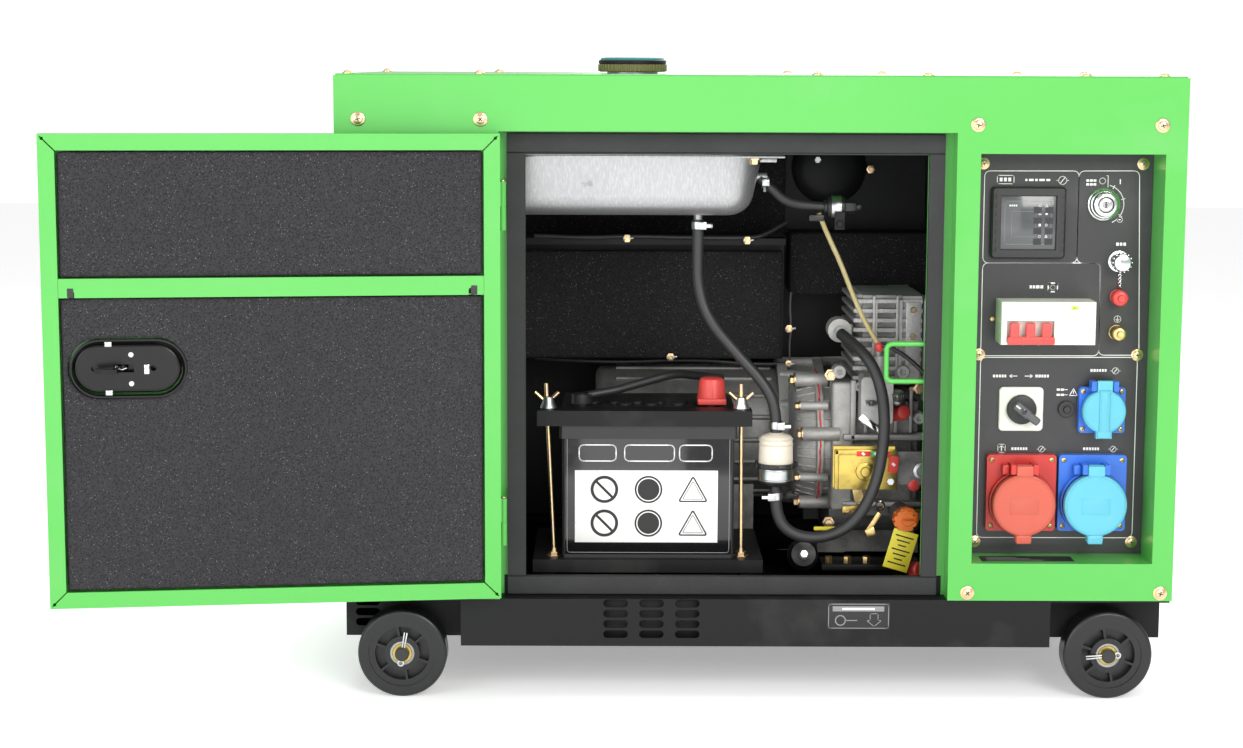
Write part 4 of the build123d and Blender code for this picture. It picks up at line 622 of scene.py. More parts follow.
for z in (350.4, 344.4):
    pills(panelInk, 347.6, z, (3.8, 3.8), 2.4, 0.9)
    stroke(panelInk, [(356.6, z), (360.0, z)], 0.7, face)
stroke(panelInk, [(362.6, 343.6), (371.4, 343.6), (367.0, 351.6)], 0.8, face, True)
stroke(panelInk, [(367.0, 348.8), (367.0, 345.9)], 0.9, face)
pills(panelInk, 385.8, 372.8, (2.6, 2.6, 2.2, 2.2, 2.2, 2.2), 3.2, 0.9)
struckRing(panelInk, 414.6, 372.4, 3.6)
stroke(panelInk, softPath([(281.4, 286.4), (289.8, 286.4), (289.8, 277.0), (281.4, 277.0)], 1.4), 0.7, face,
    True)
stroke(panelInk, [(285.6, 284.6), (285.6, 278.8)], 1.2, face)
stroke(panelInk, [(283.2, 282.8), (285.6, 285.0), (288.0, 282.8)], 0.7, face)
pills(panelInk, 297.0, 281.2, (2.6, 2.6, 2.2, 2.2, 2.2, 2.2), 3.2, 0.9)
struckRing(panelInk, 331.8, 280.8, 3.4)
pills(panelInk, 380.1, 281.4, (2.6, 2.6, 2.2, 2.2, 2.2, 2.2), 3.2, 0.9)
struckRing(panelInk, 414.8, 281.1, 3.4)
put("panelPrint", panelInk, whiteInk)
print("panel print ready")

# the controller's window, with its thin frame line and two columns of small signs
meter = {"x": 308.5, "z": 543.0, "glass": 51.4}
glass = bmesh.new()
block(glass, (meter["x"] - 31.6, meter["x"] + 31.6), (51.2, 53.2), (meter["z"] - 30.6, meter["z"] + 30.6),
    bevel=0.6)
put("meterGlass", glass, screenGlass)
lines = bmesh.new()
glassFace = 51.15
stroke(lines, softPath([(281.5, 567.5), (334.5, 567.5), (334.5, 518.5), (281.5, 518.5)], 1.5), 0.4, glassFace,
    True, 0.12, 1)
stroke(lines, softPath([(289.5, 556.0), (317.0, 556.0), (317.0, 527.0), (289.5, 527.0)], 1.0), 0.3, glassFace,
    True, 0.12, 1)
for index in range(4):
    block(lines, (286.5 + index * 2.4, 288.1 + index * 2.4), (glassFace - 0.1, glassFace + 0.1),
        (561.6, 563.6), bevel=0.3)
for column, x in enumerate((321.5, 329.0)):
    for row, z in enumerate((562.5, 553.5, 540.5, 527.5, 522.5)):
        kind = (row + column) % 3
        if kind == 0:
            stroke(lines, arc(x, z, 1.3, steps=8), 0.45, glassFace, True, 0.12)
        elif kind == 1:
            stroke(lines, [(x - 1.5, z - 1.2), (x + 1.5, z - 1.2), (x, z + 1.5)], 0.45, glassFace, True, 0.12)
        else:
            block(lines, (x - 1.2, x + 1.2), (glassFace - 0.1, glassFace + 0.1), (z - 1.4, z + 1.4), bevel=0.3)
put("meterSigns", lines, [whiteInk, greyInk])

# key switch: a stepped chrome bezel round a bright barrel, in front of the CAD body
key = bmesh.new()
turned(key, [(11.2, 0.2), (19, 0.2), (19, 2.4), (18.2, 3.4), (17.2, 3.8), (16.6, 6.8), (15.8, 8.0),
    (14.6, 8.4), (13.9, 12.4), (13.2, 14.4), (11.8, 15.2), (9.2, 15.3), (8.9, 14.2), (8.9, 9.0)],
    (395, 58, 564), sides=48)
put("keyBezel", key, chrome, hides=("key_switch",))
barrel = bmesh.new()
turned(barrel, [(0, 13.2), (1.6, 13.2), (1.9, 13.9), (6.6, 14.1), (7.6, 13.6), (7.9, 12.6), (7.9, 2.0)],
    (395, 58, 564), sides=40)
# the keyway is a dark block on the barrel's face: painted shade of the key slot
block(barrel, (394.3, 395.7), (43.6, 46), (560.4, 567.6), bevel=0.2, index=1)
put("keyFront", barrel, [chrome, mattBlack], body="key")
print("controller and key ready")

# terminals: a capped connector on its chain, a red knob and a brass knob
post = bmesh.new()
turned(post, [(0, 25.8), (6.4, 25.8), (9.2, 24.9), (10.6, 22.8), (10.9, 15.0), (10.2, 14.2), (8.6, 13.8),
    (8.4, 4.4), (9.2, 3.4), (12.0, 3.0), (12.0, 0.2), (0, 0.2)], (414, 58, 499))
for side in range(14):
    angle = 2 * pi * side / 14
    rod(post, (414 + 10.6 * cos(angle), 35.5, 499 + 10.6 * sin(angle)),
        (414 + 10.6 * cos(angle), 42.5, 499 + 10.6 * sin(angle)), 1.0, bevel=0.3, sides=8)
for link in range(9):
    turn = (1, 0.2, 0.5) if link % 2 else (0.1, 1, 0.3)
    turned(post, [(1.1, -0.45), (1.9, -0.3), (1.9, 0.3), (1.1, 0.45), (1.1, -0.45)],
        (415.6 + 0.4 * (link % 2), 55.4, 487.5 - 2.3 * link), turn, 10)
for z, radius, colour in ((458, 9.0, 1), (417, 8.5, 2)):
    turned(post, [(0, 25.9), (3.6, 25.9), (4.0, 25.3), (4.0, 20.4), (radius - 2.2, 20.2),
        (radius - 0.8, 19.2), (radius, 17.2), (radius, 6.6), (radius - 1.2, 5.0), (7.6, 4.2), (7.8, 0.6),
        (8.6, 0.2), (0, 0.2)], (414, 58, z), sides=32, index=colour)
put("terminals", post, [chrome, leverRed, brass], hides=("panel_terminals",))

# breaker: joined red levers, blank label lines and small marks on a white body
marks = bmesh.new()
for x in (282.5, 299.0, 316.5):
    stroke(marks, [(x, 454.0), (x + 9.0, 454.0)], 0.5, 15.9, thick=0.1)
stroke(marks, [(334.6, 453.9), (366.0, 453.9)], 0.5, 15.9, thick=0.1)
stroke(marks, arc(346.0, 449.0, 2.4, steps=10), 0.5, 15.9, True, 0.1)
block(marks, (353.5, 361.5), (15.75, 16.1), (447.0, 451.4), bevel=0.3, index=1)
block(marks, (355.5, 358.5), (15.65, 16.0), (448.0, 450.4), bevel=0.2, index=2)
for x in (299.5, 317.5, 344.5, 362.5):
    stroke(marks, [(x, 411), (x, 406)], 0.5, 15.9, thick=0.1)
put("breakerMarks", marks, [greyInk, yellowInk, greenInk])
levers = bmesh.new()
for pole in range(3):
    x = 290 + 18 * pole
    block(levers, (x - 5.2, x + 5.2), (12.4, 20.6), (414.5, 432.0), bevel=1.2, steps=3)
block(levers, (281.8, 335.4), (11.6, 17.4), (407.6, 416.6), bevel=1.6, steps=3)
for side in range(12):
    x = 284 + side * 4.4
    block(levers, (x, x + 1.4), (11.2, 12.2), (409.0, 415.4), bevel=0.3)
put("breakerLevers", levers, leverRed, body="breaker_lever", hides=("breaker_toggle",))
small = bmesh.new()
for x in (271.1, 385.4):
    turned(small, [(0, -0.5), (3.0, -0.5), (3.0, 0.6), (2.2, 1.5), (0, 1.7)], (x, 58, 432), sides=20)
put("breakerScrews", small, brass)

# selector: a pointer arm with a rounded end over the dark disc
arm = bmesh.new()
turned(arm, [(0, 12.2), (13.6, 12.2), (16.2, 11.2), (17.0, 9.4), (17.0, 4.6), (0, 4.6)], (306.5, 58, 328),
    sides=44)
armTurn = Matrix.Rotation(radians(38), 4, "Y")
for low, high, width in ((-12.5, 9.0, 5.6), (6.0, 22.5, 4.6)):
    cx = (low + high) / 2
    shift = armTurn @ Vector((cx, 0, 0))
    block(arm, (306.5 + shift.x - (high - low) / 2, 306.5 + shift.x + (high - low) / 2), (33.8, 46.5),
        (328 + shift.z - width, 328 + shift.z + width), bevel=2.6, steps=4, turn=armTurn, index=1)
tick = armTurn @ Vector((-8.5, 0, 0))
block(arm, (306.5 + tick.x - 3.0, 306.5 + tick.x + 3.0), (33.6, 34.2),
    (328 + tick.z - 0.9, 328 + tick.z + 0.9), turn=armTurn, bevel=0.3, index=2)
turned(arm, [(0, 24.6), (3.0, 24.6), (3.4, 24.3), (3.4, 23.0), (0, 23.0)], (306.5, 58, 328), sides=20, index=3)
put("selectorArm", arm, [mattBlack, greyPlastic, whiteInk, glossBlack], body="selector",
    hides=("selector_knob",))
print("switches ready")

# sockets: corner screws, bands, tabs and the raised oblong on each lid
trim = bmesh.new()
for x, z, halfX, halfZ, deep in ((307.5, 231.5, 34.5, 38.5, 46), (389.5, 231.5, 33.5, 38.5, 46),
    (398.5, 328, 21.8, 21.8, 48)):
    for sideX in (-1, 1):
        for sideZ in (-1, 1):
            place = (x + sideX * halfX, deep, z + sideZ * halfZ)
            turned(trim, [(0, -0.3), (2.9, -0.3), (2.9, 0.5), (2.0, 1.3), (0, 1.5)], place, sides=18)
            # each head's cross recess is two dark bars: painted shade, not a cut
            for turn in (0.5, 0.5 + pi / 2):
                block(trim, (place[0] - 1.7, place[0] + 1.7), (deep - 1.65, deep - 1.2),
                    (place[2] - 0.35, place[2] + 0.35), index=1, turn=Matrix.Rotation(turn, 4, "Y"))
put("socketScrews", trim, [brass, mattBlack])

lids = {
    "three_phase": {"x": 307.5, "z": 221, "face": 22, "r": 36, "finish": redLid, "slot": "red_plastic"},
    "one_phase": {"x": 389.5, "z": 221, "face": 22, "r": 36, "finish": blueLid, "slot": "blue_plastic"},
}
for kind, lid in lids.items():
    work = bmesh.new()
    x, z, top = lid["x"], lid["z"], lid["face"]
    turned(work, [(34.4, -0.2), (34.4, 0.9), (33.6, 1.3), (32.8, 0.9), (32.8, -0.2)], (x, top, z), sides=56)
    block(work, (x - 17, x + 17), (top - 0.5, top + 0.5), (z - 11, z + 9), bevel=0.45)
    block(work, (x - 15.6, x + 15.6), (top - 0.9, top - 0.3), (z - 9.6, z + 7.6), bevel=0.25)
    block(work, (x - 9.5, x + 9.5), (top - 1.6, top + 4), (z + 34, z + 46), bevel=1.2, steps=3)
    block(work, (x - 8.4, x + 8.4), (top - 2.6, top + 4), (z - 44.4, z - 34), bevel=1.4, steps=3)
    for index in range(3):
        block(work, (x - 6, x + 6), (top - 3.1, top - 2.2), (z - 43.4 + index * 2.4, z - 42.4 + index * 2.4),
            bevel=0.2)
    put(kind + "LidTrim", work, lid["finish"], body=kind + "_flap")
work = bmesh.new()
turned(work, [(24.0, -0.2), (24.0, 0.8), (23.2, 1.2), (22.4, 0.8), (22.4, -0.2)], (398.5, 34, 328), sides=44)
block(work, (392.6, 404.4), (31.8, 36), (303.5, 352.5), bevel=0.9, steps=3)
block(work, (394.4, 402.6), (31.2, 32.4), (305.5, 350.5), bevel=0.5)
block(work, (389.6, 407.4), (32.4, 38), (352.5, 364.0), bevel=1.2, steps=3)
block(work, (390.6, 406.4), (31.8, 38), (297.6, 305.5), bevel=1.2, steps=3)
put("householdLidTrim", work, blueLid, body="household_flap")
rims = bmesh.new()
for x, finishIndex in ((307.5, 0), (389.5, 1)):
    turned(rims, [(36.2, 0), (38.0, 0), (38.0, 6.0), (37.2, 7.4), (36.2, 7.6), (36.2, 0)], (x, 46, 221),
        sides=56, index=finishIndex)
    block(rims, (x - 24, x - 16), (33, 46), (255, 266), bevel=1.2, index=finishIndex)
put("socketRims", rims, [redPlastic, bluePlastic])
print("sockets ready")

# sponge lip that wraps the folded edge of the opening
lip = bmesh.new()
block(lip, (-264.7, -263.2), (22.2, 31.9), (137.5, 621.9), bevel=0.5)
block(lip, (-264.0, 190.5), (22.2, 31.9), (620.2, 621.9), bevel=0.5)
put("sealLip", lip, sponge)

# battery: a blank label with an outlined strip and six plain signs, moulded ribs and a soft terminal cap
label = bmesh.new()
block(label, (-219.5, -25.0), (79.2, 80.4), (150.5, 297.5), bevel=0.4, index=0)
stroke(label, softPath([(-217, 295), (-27.5, 295), (-27.5, 153), (-217, 153)], 4), 0.7, 79.1, True, 0.2, 1)
for low, high in ((-203, -160), (-150, -92), (-86, -48)):
    stroke(label, softPath([(low, 280.5), (high, 280.5), (high, 261.5), (low, 261.5)], 6), 1.3, 79.1, True,
        0.2, 2)
block(label, (-208, -41), (78.8, 79.4), (165, 250.5), bevel=0.3, index=2)
for column, x in enumerate((-173.5, -122, -70)):
    for row, z in enumerate((228.0, 188.0)):
        if column < 2:
            turned(label, [(0, 0), (16.2, 0), (16.2, 0.25), (0, 0.25)], (x, 78.8, z), sides=40, index=3)
            if column == 0:
                turned(label, [(0, 0.2), (12.6, 0.2), (12.6, 0.4), (0, 0.4)], (x, 78.8, z), sides=40, index=2)
                stroke(label, [(x - 9.5, z + 9.5), (x + 9.5, z - 9.5)], 3.0, 78.35, thick=0.15, index=3)
            else:
                turned(label, [(12.8, 0.2), (14.0, 0.2), (14.0, 0.4), (12.8, 0.4), (12.8, 0.2)], (x, 78.8, z),
                    sides=40, index=2)
        else:
            corners = [(x - 16.5, z - 14), (x + 16.5, z - 14), (x, z + 15.5)]
            stroke(label, softPath(corners, 3), 1.6, 78.6, True, 0.15, 3)
            stroke(label, softPath([(x - 12, z - 11.3), (x + 12, z - 11.3), (x, z + 10)], 2), 0.6, 78.6, True,
                0.15, 3)
put("batteryLabel", label, [glossBlack, greyInk, whiteInk, blackInk])
cap = bmesh.new()
block(cap, (-64, -30), (113.5, 153.5), (322.5, 330.0), bevel=1.6, steps=3)
turned(cap, [(0, 30.5), (10.5, 30.2), (13.8, 28.6), (15.2, 25.0), (16.4, 4.0), (16.8, 0)], (-47, 133, 323),
    (0, 0, 1))
for side in range(9):
    angle = pi + pi * side / 8
    rod(cap, (-47 + 15.6 * cos(angle), 133 + 15.6 * sin(angle), 330),
        (-47 + 14.4 * cos(angle), 133 + 14.4 * sin(angle), 347), 0.9, bevel=0.3, sides=8)
put("terminalCap", cap, leverRed, hides=("terminal_cover",))
bits = bmesh.new()
for x in (-232.5, -12.5):
    turned(bits, [(0, 9), (3.2, 9), (3.2, 5.2), (6.6, 5.0), (6.6, 0.8), (9.5, 0.8), (9.5, -0.4), (0, -0.4)],
        (x, 96, 146), (0, 0, 1), 6)
    turned(bits, [(2.9, 14), (6.2, 13), (7.2, 6), (9.8, 1.5), (9.8, 0), (2.9, 0)],
        (x - 7 if x < -100 else x - 1, 96, 321.6), (0, 0, 1), 20, 1)
for x in (-150, -118, -86):
    turned(bits, [(0, 2.4), (8.6, 2.4), (9.4, 1.6), (9.4, 0), (0, 0)], (x, 150, 318), (0, 0, 1), 24, 2)
put("batteryNuts", bits, [yellowZinc, zinc, caseBlack])
print("battery ready")

# fuel filter, the valve beside the tank, and the hoses between them
bowl = bmesh.new()
turned(bowl, [(4.6, 77), (6.2, 76.6), (6.2, 70.5), (9.5, 69.0), (17.2, 66.6), (19.4, 63.5), (20.2, 36.5),
    (20.6, 34.4), (0, 34.4)], (27, 90, 224), (0, 0, 1), 48)
for z, radius in ((287.0, 19.9), (281.0, 20.1)):
    turned(bowl, [(radius, -0.6), (radius + 0.6, 0), (radius, 0.6)], (27, 90, z), (0, 0, 1), 48)
turned(bowl, [(0, 35), (24.6, 35), (25.2, 34.2), (25.2, 30.6), (24.4, 29.6), (20.0, 29.4), (20.0, 12.6),
    (17.5, 9.5), (9.0, 6.8), (6.4, 6.2), (6.4, 0.5), (4.8, 0.2)], (27, 90, 224), (0, 0, 1), 48, 1)
for side in range(16):
    angle = 2 * pi * side / 16
    rod(bowl, (27 + 24.4 * cos(angle), 90 + 24.4 * sin(angle), 254),
        (27 + 24.4 * cos(angle), 90 + 24.4 * sin(angle), 259), 1.7, bevel=0.3, sides=10, index=1)
turned(bowl, [(20.1, 28.6), (21.0, 28.4), (21.2, 27.4), (20.7, 26.8), (20.7, 16.4), (21.2, 15.8),
    (21.0, 14.6), (20.1, 14.4), (20.1, 28.6)], (27, 90, 224), (0, 0, 1), 48, 2)
put("filterBowl", bowl, [filterWhite, caseBlack, zinc], hides=("fuel_filter",))
valve = bmesh.new()
rod(valve, (84, 150, 554.5), (90, 150, 554.5), 8.0, bevel=1.0)
rod(valve, (88, 150, 554.5), (109, 150, 554.5), 12.5, bevel=2.0, sides=32)
rod(valve, (107, 150, 554.5), (122, 150, 554.5), 9.5, tip=8.0, bevel=1.2, sides=6)
rod(valve, (121, 150, 554.5), (128, 150, 554.5), 4.6, bevel=0.6)
rod(valve, (92.5, 150, 554.5), (104.5, 150, 554.5), 13.1, bevel=0.5, sides=32, index=1)
block(valve, (96, 108), (136.5, 138.0), (528, 549), bevel=0.6, index=2)
turned(valve, [(0, 3.2), (3.8, 3.0), (4.6, 1.0), (4.6, 0), (0, 0)], (102, 136.5, 535), sides=6, index=2)
block(valve, (66, 84), (139, 161), (538, 545.5), bevel=1.4, index=0)
put("fuelValve", valve, [caseBlack, zinc, satinBlack])
wire("fuelHoses", [(-65, 120, 541), (-65.5, 120, 500), (-65, 118, 462), (-53, 112, 424), (-20, 104, 386),
    (14, 97, 350), (27, 91, 322), (27, 90, 294)], 6.7, hoseBlack, hides=("fuel_hoses",))
wire("filterHose", [(27, 90, 227), (27, 90, 196), (46, 89, 172), (84, 88, 168), (120, 88, 186),
    (144, 90, 228), (154, 93, 280), (154, 100, 330), (144, 112, 366), (128, 128, 388), (108, 164, 402)], 6.9,
    hoseBlack)
wire("tankHose", [(7, 140, 588.5), (20, 140, 578), (36, 143, 562), (58, 148, 556), (86, 150, 554.5)], 5.6,
    hoseBlack)
wire("returnTube", [(78, 149, 547), (88, 150, 523), (104, 147, 490), (120, 143, 449), (137, 139, 412),
    (152, 138, 389.5)], 2.9, clear, hides=("return_hose",))
clamps = bmesh.new()


def hoseClamp(work, x, y, z, radius, along="z", screw=1):
    axis = (0, 0, 1) if along == "z" else (1, 0, 0)
    turned(work, [(radius, -4.2), (radius + 0.9, -4.2), (radius + 1.2, 0), (radius + 0.9, 4.2), (radius, 4.2),
        (radius, -4.2)], (x, y, z), axis, 32)
    if along == "z":
        block(work, (x + screw * (radius - 2) - 4.5, x + screw * (radius - 2) + 4.5),
            (y - radius - 5, y - radius + 1), (z - 4.4, z + 4.4), bevel=0.8)
        rod(work, (x + screw * (radius + 2), y - radius - 2, z),
            (x + screw * (radius + 9.5), y - radius - 2, z), 3.3, bevel=0.5, sides=6, index=1)
    else:
        block(work, (x - 4.4, x + 4.4), (y - radius - 4.5, y - radius + 1), (z - 4, z + 4), bevel=0.8)
        rod(work, (x, y - radius - 2, z - 4), (x, y - radius - 2, z - 11), 3.0, bevel=0.5, sides=6, index=1)


hoseClamp(clamps, -65, 120, 534, 6.9)
hoseClamp(clamps, 27, 90, 303, 6.9)
hoseClamp(clamps, 27, 90, 219, 7.0, screw=-1)
hoseClamp(clamps, 14, 140, 583.5, 5.9, "x")
put("hoseClamps", clamps, [zinc, chrome])

# tank: the pressed seam's flange with its bolts
tankTrim = bmesh.new()
block(tankTrim, (-264, 30), (43.5, 62), (615.4, 618.6), bevel=0.8)
turned(tankTrim, [(0, -7), (5.4, -7), (6.2, -5.6), (6.2, -1.5), (9.0, -1.3), (9.0, 0), (0, 0)], (-4, 53, 615),
    (0, 0, 1), 6, 1)
block(tankTrim, (-3, 22), (62, 110), (610, 614.5), bevel=0.8)
put("tankSeam", tankTrim, [tankSteel, yellowZinc])
print("fuel line ready")

# engine: a ribbed drum with a red joint line, bosses, and the fuel pump's levers and covers
castDial = {"axisY": 252.0, "axisZ": 262.0, "radius": 84.0}
drumY, drumZ, drumR = castDial["axisY"], castDial["axisZ"], castDial["radius"]
drum = bmesh.new()
turned(drum, [(0, 0), (52, 0), (62, 2), (70, 6), (75, 14), (77.5, 28), (drumR - 1, 28), (drumR, 29),
    (drumR, 31.4), (0, 31.4)], (54, drumY, drumZ), (1, 0, 0), 96)
turned(drum, [(0, 0), (drumR, 0), (drumR, 3.2), (drumR - 1, 4.2), (76, 4.4), (76, 40), (0, 40)],
    (86.8, drumY, drumZ), (1, 0, 0), 96)
for index in range(17):
    angle = radians(-72 + index * 9)
    y, z = -cos(angle), sin(angle)
    rod(drum, (60, drumY + 71 * y, drumZ + 71 * z), (84, drumY + 78.5 * y, drumZ + 78.5 * z), 1.7, bevel=0.5,
        sides=10)
    if index % 2:
        rod(drum, (91, drumY + 76 * y, drumZ + 76 * z), (124, drumY + 76 * y, drumZ + 76 * z), 1.8, bevel=0.5,
            sides=10)
for x0, x1, z in ((58, 98, 339), (64, 109, 280), (64, 108, 190), (62, 96, 312), (62, 96, 226)):
    behindDrum = drumY - (drumR ** 2 - min(abs(z - drumZ), 78) ** 2) ** 0.5
    y = behindDrum - 1.5
    big = z in (339, 280, 190)
    rod(drum, (x0, y, z), (x1, y, z), 8.2 if big else 5.6, bevel=1.2)
    rod(drum, (x0 - 1.4, y, z), (x0 + 0.4, y, z), 8.8 if big else 6.0, bevel=0.4, index=1)
    rod(drum, (x0 - 6.4, y, z), (x0 - 1.2, y, z), 6.0 if big else 4.4, bevel=0.6, sides=6, index=1)
block(drum, (99, 126), (168, 205), (186, 343), bevel=4.5, steps=3)
block(drum, (121, 127.5), (161, 175), (273, 346), bevel=1.6)
block(drum, (113, 212), (161, 182), (273.5, 280.5), bevel=1.6)
block(drum, (113, 208), (165, 182), (192, 198), bevel=1.6)
for x in (140, 158, 176, 194):
    block(drum, (x - 2, x + 2), (166, 182), (282, 334), bevel=1.0)
for x, z, radius in ((107, 356, 8.0), (183, 356, 8.0), (131, 338, 5.5), (204, 300, 7.0)):
    turned(drum, [(radius * 0.45, 14), (radius * 0.9, 14), (radius, 13), (radius, -8), (0, -8), (0, 8),
        (radius * 0.45, 9), (radius * 0.45, 14)], (x, 176, z), sides=28)
for x, z in ((97, 352), (97, 172), (204, 336), (204, 182)):
    turned(drum, [(0, 6.5), (4.6, 6.5), (5.2, 5.8), (5.2, 1.4), (7.4, 1.2), (7.4, 0), (0, 0)], (x, 168, z),
        sides=6, index=1)
put("castDrum", drum, [castAlloy, yellowZinc])
joint = bmesh.new()
turned(joint, [(drumR - 3, 0), (drumR + 0.7, 0), (drumR + 0.9, 0.8), (drumR + 0.7, 1.6), (drumR - 3, 1.6)],
    (85.2, drumY, drumZ), (1, 0, 0), 120)
for vert in joint.verts:
    around = atan2(vert.co.z - drumZ, vert.co.y - frontPlane - drumY)
    vert.co.x += 0.7 * sin(around * 23) + 0.4 * sin(around * 41)
put("jointLine", joint, redInk)

shroud = bmesh.new()
block(shroud, (208, 213.5), (166, 320), (320, 443), bevel=1.2)
for z in (430, 398, 366, 334):
    turned(shroud, [(0, 4.4), (3.4, 4.4), (4.2, 3.6), (4.2, 0), (0, 0)], (195, 174, z), sides=6, index=1)
block(shroud, (186, 205), (171, 176.5), (346, 440), bevel=2.0, steps=3)
for x in (148, 176):
    block(shroud, (x - 1.7, x + 1.7), (168.4, 176), (346, 447), bevel=0.7)
put("cylinderTrim", shroud, [castAlloy, yellowZinc])

gold = bmesh.new()
block(gold, (98.5, 172.8), (118.4, 121.2), (221.2, 269.4), bevel=0.9)
block(gold, (98.5, 172.8), (117.2, 120.4), (262.6, 269.4), bevel=1.4)
block(gold, (98.5, 104.0), (117.2, 120.4), (221.2, 269.4), bevel=1.4)
block(gold, (172, 208), (126, 128), (226, 266), bevel=0.8, index=5)
turned(gold, [(0, 8.6), (5.2, 8.6), (6.0, 7.8), (6.0, 3.6), (7.6, 3.2), (10.6, 2.6), (11.4, 1.6), (11.4, 0),
    (0, 0)], (135, 119.2, 243.5), sides=32)
turned(gold, [(0, 4.6), (4.2, 4.6), (5.0, 3.8), (5.0, 0), (0, 0)], (165, 119.2, 231.6), sides=6, index=1)
turned(gold, [(0, 10), (5.6, 10), (6.4, 9), (6.4, 5.0), (9.4, 4.6), (10.0, 3.6), (10.0, 0), (0, 0)],
    (202, 126, 243.5), sides=24, index=1)
for x0, x1, z0, z1, turn, colour in ((124.5, 140.5, 261.6, 267.6, 0, 2), (142, 152.5, 261.6, 267.6, 0, 3),
    (154, 164, 260.5, 267.6, 0.1, 2), (163, 173.6, 242, 262, 0.12, 2)):
    block(gold, (x0, x1), (116.7, 117.3), (z0, z1), bevel=0.2, index=colour, turn=Matrix.Rotation(turn, 4, "Y"))
for x, z in ((132.4, 264.6), (147, 264.6), (168.4, 252)):
    block(gold, (x - 2.2, x + 2.2), (116.4, 116.9), (z - 1.5, z + 1.5), bevel=0.2, index=4,
        turn=Matrix.Rotation(0.78, 4, "Y"))
put("speedPlateTrim", gold, [goldZinc, zinc, redInk, greenInk, whiteInk, shadedAlloy])

extras = bmesh.new()
turned(extras, [(0, 20), (6.5, 20), (8.6, 18.4), (9.2, 14), (9.2, 0), (0, 0)], (176.5, 160, 306),
    (0.4, -1, 0.3), 28, 0)
turned(extras, [(0, 15), (5.2, 15), (7.2, 13.6), (7.4, 0), (0, 0)], (192, 140, 227.5), (0.2, -1, -0.2), 28, 0)
turned(extras, [(0, 12), (8.2, 12), (9.6, 10.4), (9.8, 0), (0, 0)], (195.5, 122, 124), (0.7, -1, 0.2), 28, 0)
turned(extras, [(0, 9), (3.4, 9), (4.6, 7.4), (4.8, 0), (0, 0)], (151, 138, 386), (-0.2, -0.5, 1), 20, 0)
for x, z in ((143, 318), (174, 325)):
    turned(extras, [(0, 13), (5.6, 13), (7.2, 11.8), (7.4, 4), (9.0, 3), (9.2, 0), (0, 0)], (x, 140, z),
        (0, -0.7, 1), 24, 1)
    for side in range(12):
        angle = 2 * pi * side / 12
        rod(extras, (x + 7.2 * cos(angle), 134 + 5 * sin(angle), z + 2),
            (x + 7.2 * cos(angle), 129 + 5 * sin(angle), z + 9), 0.9, sides=8, index=1)
block(extras, (126, 156), (128, 131), (295, 303), bevel=1.2, index=2, turn=Matrix.Rotation(radians(35), 4, "Y"))
block(extras, (108, 136), (112, 114.2), (193.4, 202.6), bevel=3.6, steps=4, index=3)
for x in (114, 122, 130):
    turned(extras, [(1.4, 2.0), (3.2, 2.0), (3.2, 0), (1.4, 0), (1.4, 2.0)], (x, 112.4, 198), sides=20, index=4)
turned(extras, [(4.4, -1.4), (5.8, -0.8), (6.0, 0.8), (4.8, 1.4), (4.0, 0), (4.4, -1.4)], (152.5, 112, 203.5),
    sides=28, index=2)
block(extras, (143, 149), (113, 115), (171, 196), bevel=0.8, index=5, turn=Matrix.Rotation(radians(32), 4, "Y"))
block(extras, (136, 148), (112, 114.6), (166, 176), bevel=1.2, index=5,
    turn=Matrix.Rotation(radians(-20), 4, "Y"))
block(extras, (78, 108), (150, 152), (165.6, 170.2), bevel=0.7, index=6)
turned(extras, [(0, 24), (7, 24), (7.4, 20), (14.5, 19), (16.4, 16), (16.6, 4), (19, 2), (19, 0), (0, 0)],
    (65, 154, 135), (0, -1, 0.25), 36, 7)
turned(extras, [(0, 4), (4.6, 4), (5.0, 3.2), (5.0, 0), (0, 0)], (65, 130.5, 141), (0, -1, 0.25), 6, 2)
for x in (97, 120, 143):
    rod(extras, (x, 160, 118.5), (x, 160, 132), 5.0, bevel=0.8, sides=6, index=4)
block(extras, (88, 208), (150, 196), (116.5, 124), bevel=1.4, index=8)
put("engineBits", extras, [leverRed, zinc, chrome, goldZinc, brass, brass, yellowInk, tyreBlack, satinBlack])
tag = bmesh.new()
tagTurn = Matrix.Rotation(radians(16), 4, "Y")
block(tag, (162, 192), (104.0, 104.8), (127, 175), bevel=0.3, turn=tagTurn)
for row in range(7):
    shift = tagTurn @ Vector((0, 0, 17 - row * 5.6))
    half = 11 - 3 * (row % 3)
    block(tag, (177 + shift.x - half, 177 + shift.x + half), (103.7, 104.1),
        (151 + shift.z - 0.8, 151 + shift.z + 0.8), turn=tagTurn, index=1)
put("blankTag", tag, [yellowInk, blackInk])
capGrip = bmesh.new()
turned(capGrip, [(0, 18.6), (7.5, 18.6), (8.2, 17.8), (9.0, 15.4), (12.6, 14.6), (13.4, 13.4), (13.4, 2),
    (12.8, 0), (0, 0)], (185, 122, 188), sides=40)
for side in range(12):
    angle = 2 * pi * side / 12
    rod(capGrip, (185 + 12.4 * cos(angle), 121.5, 188 + 12.4 * sin(angle)),
        (185 + 12.4 * cos(angle), 108, 188 + 12.4 * sin(angle)), 1.5, bevel=0.4, sides=10)
block(capGrip, (174.6, 195.4), (103.4, 107.0), (185.6, 190.4), bevel=1.0)
put("oilCapGrip", capGrip, orangePlastic, body="dipstick")
wire("stopCable", [(153, 137, 392), (170, 136, 388), (196, 130, 368), (214, 122, 348), (233, 110, 338)], 2.6,
    hoseBlack)
wire("shelfCable", [(-262, 287, 509), (-200, 287, 506), (-147, 286, 509), (-70, 287, 507), (2, 286, 507),
    (22, 288, 509), (52, 300, 526)], 2.7, hoseBlack)
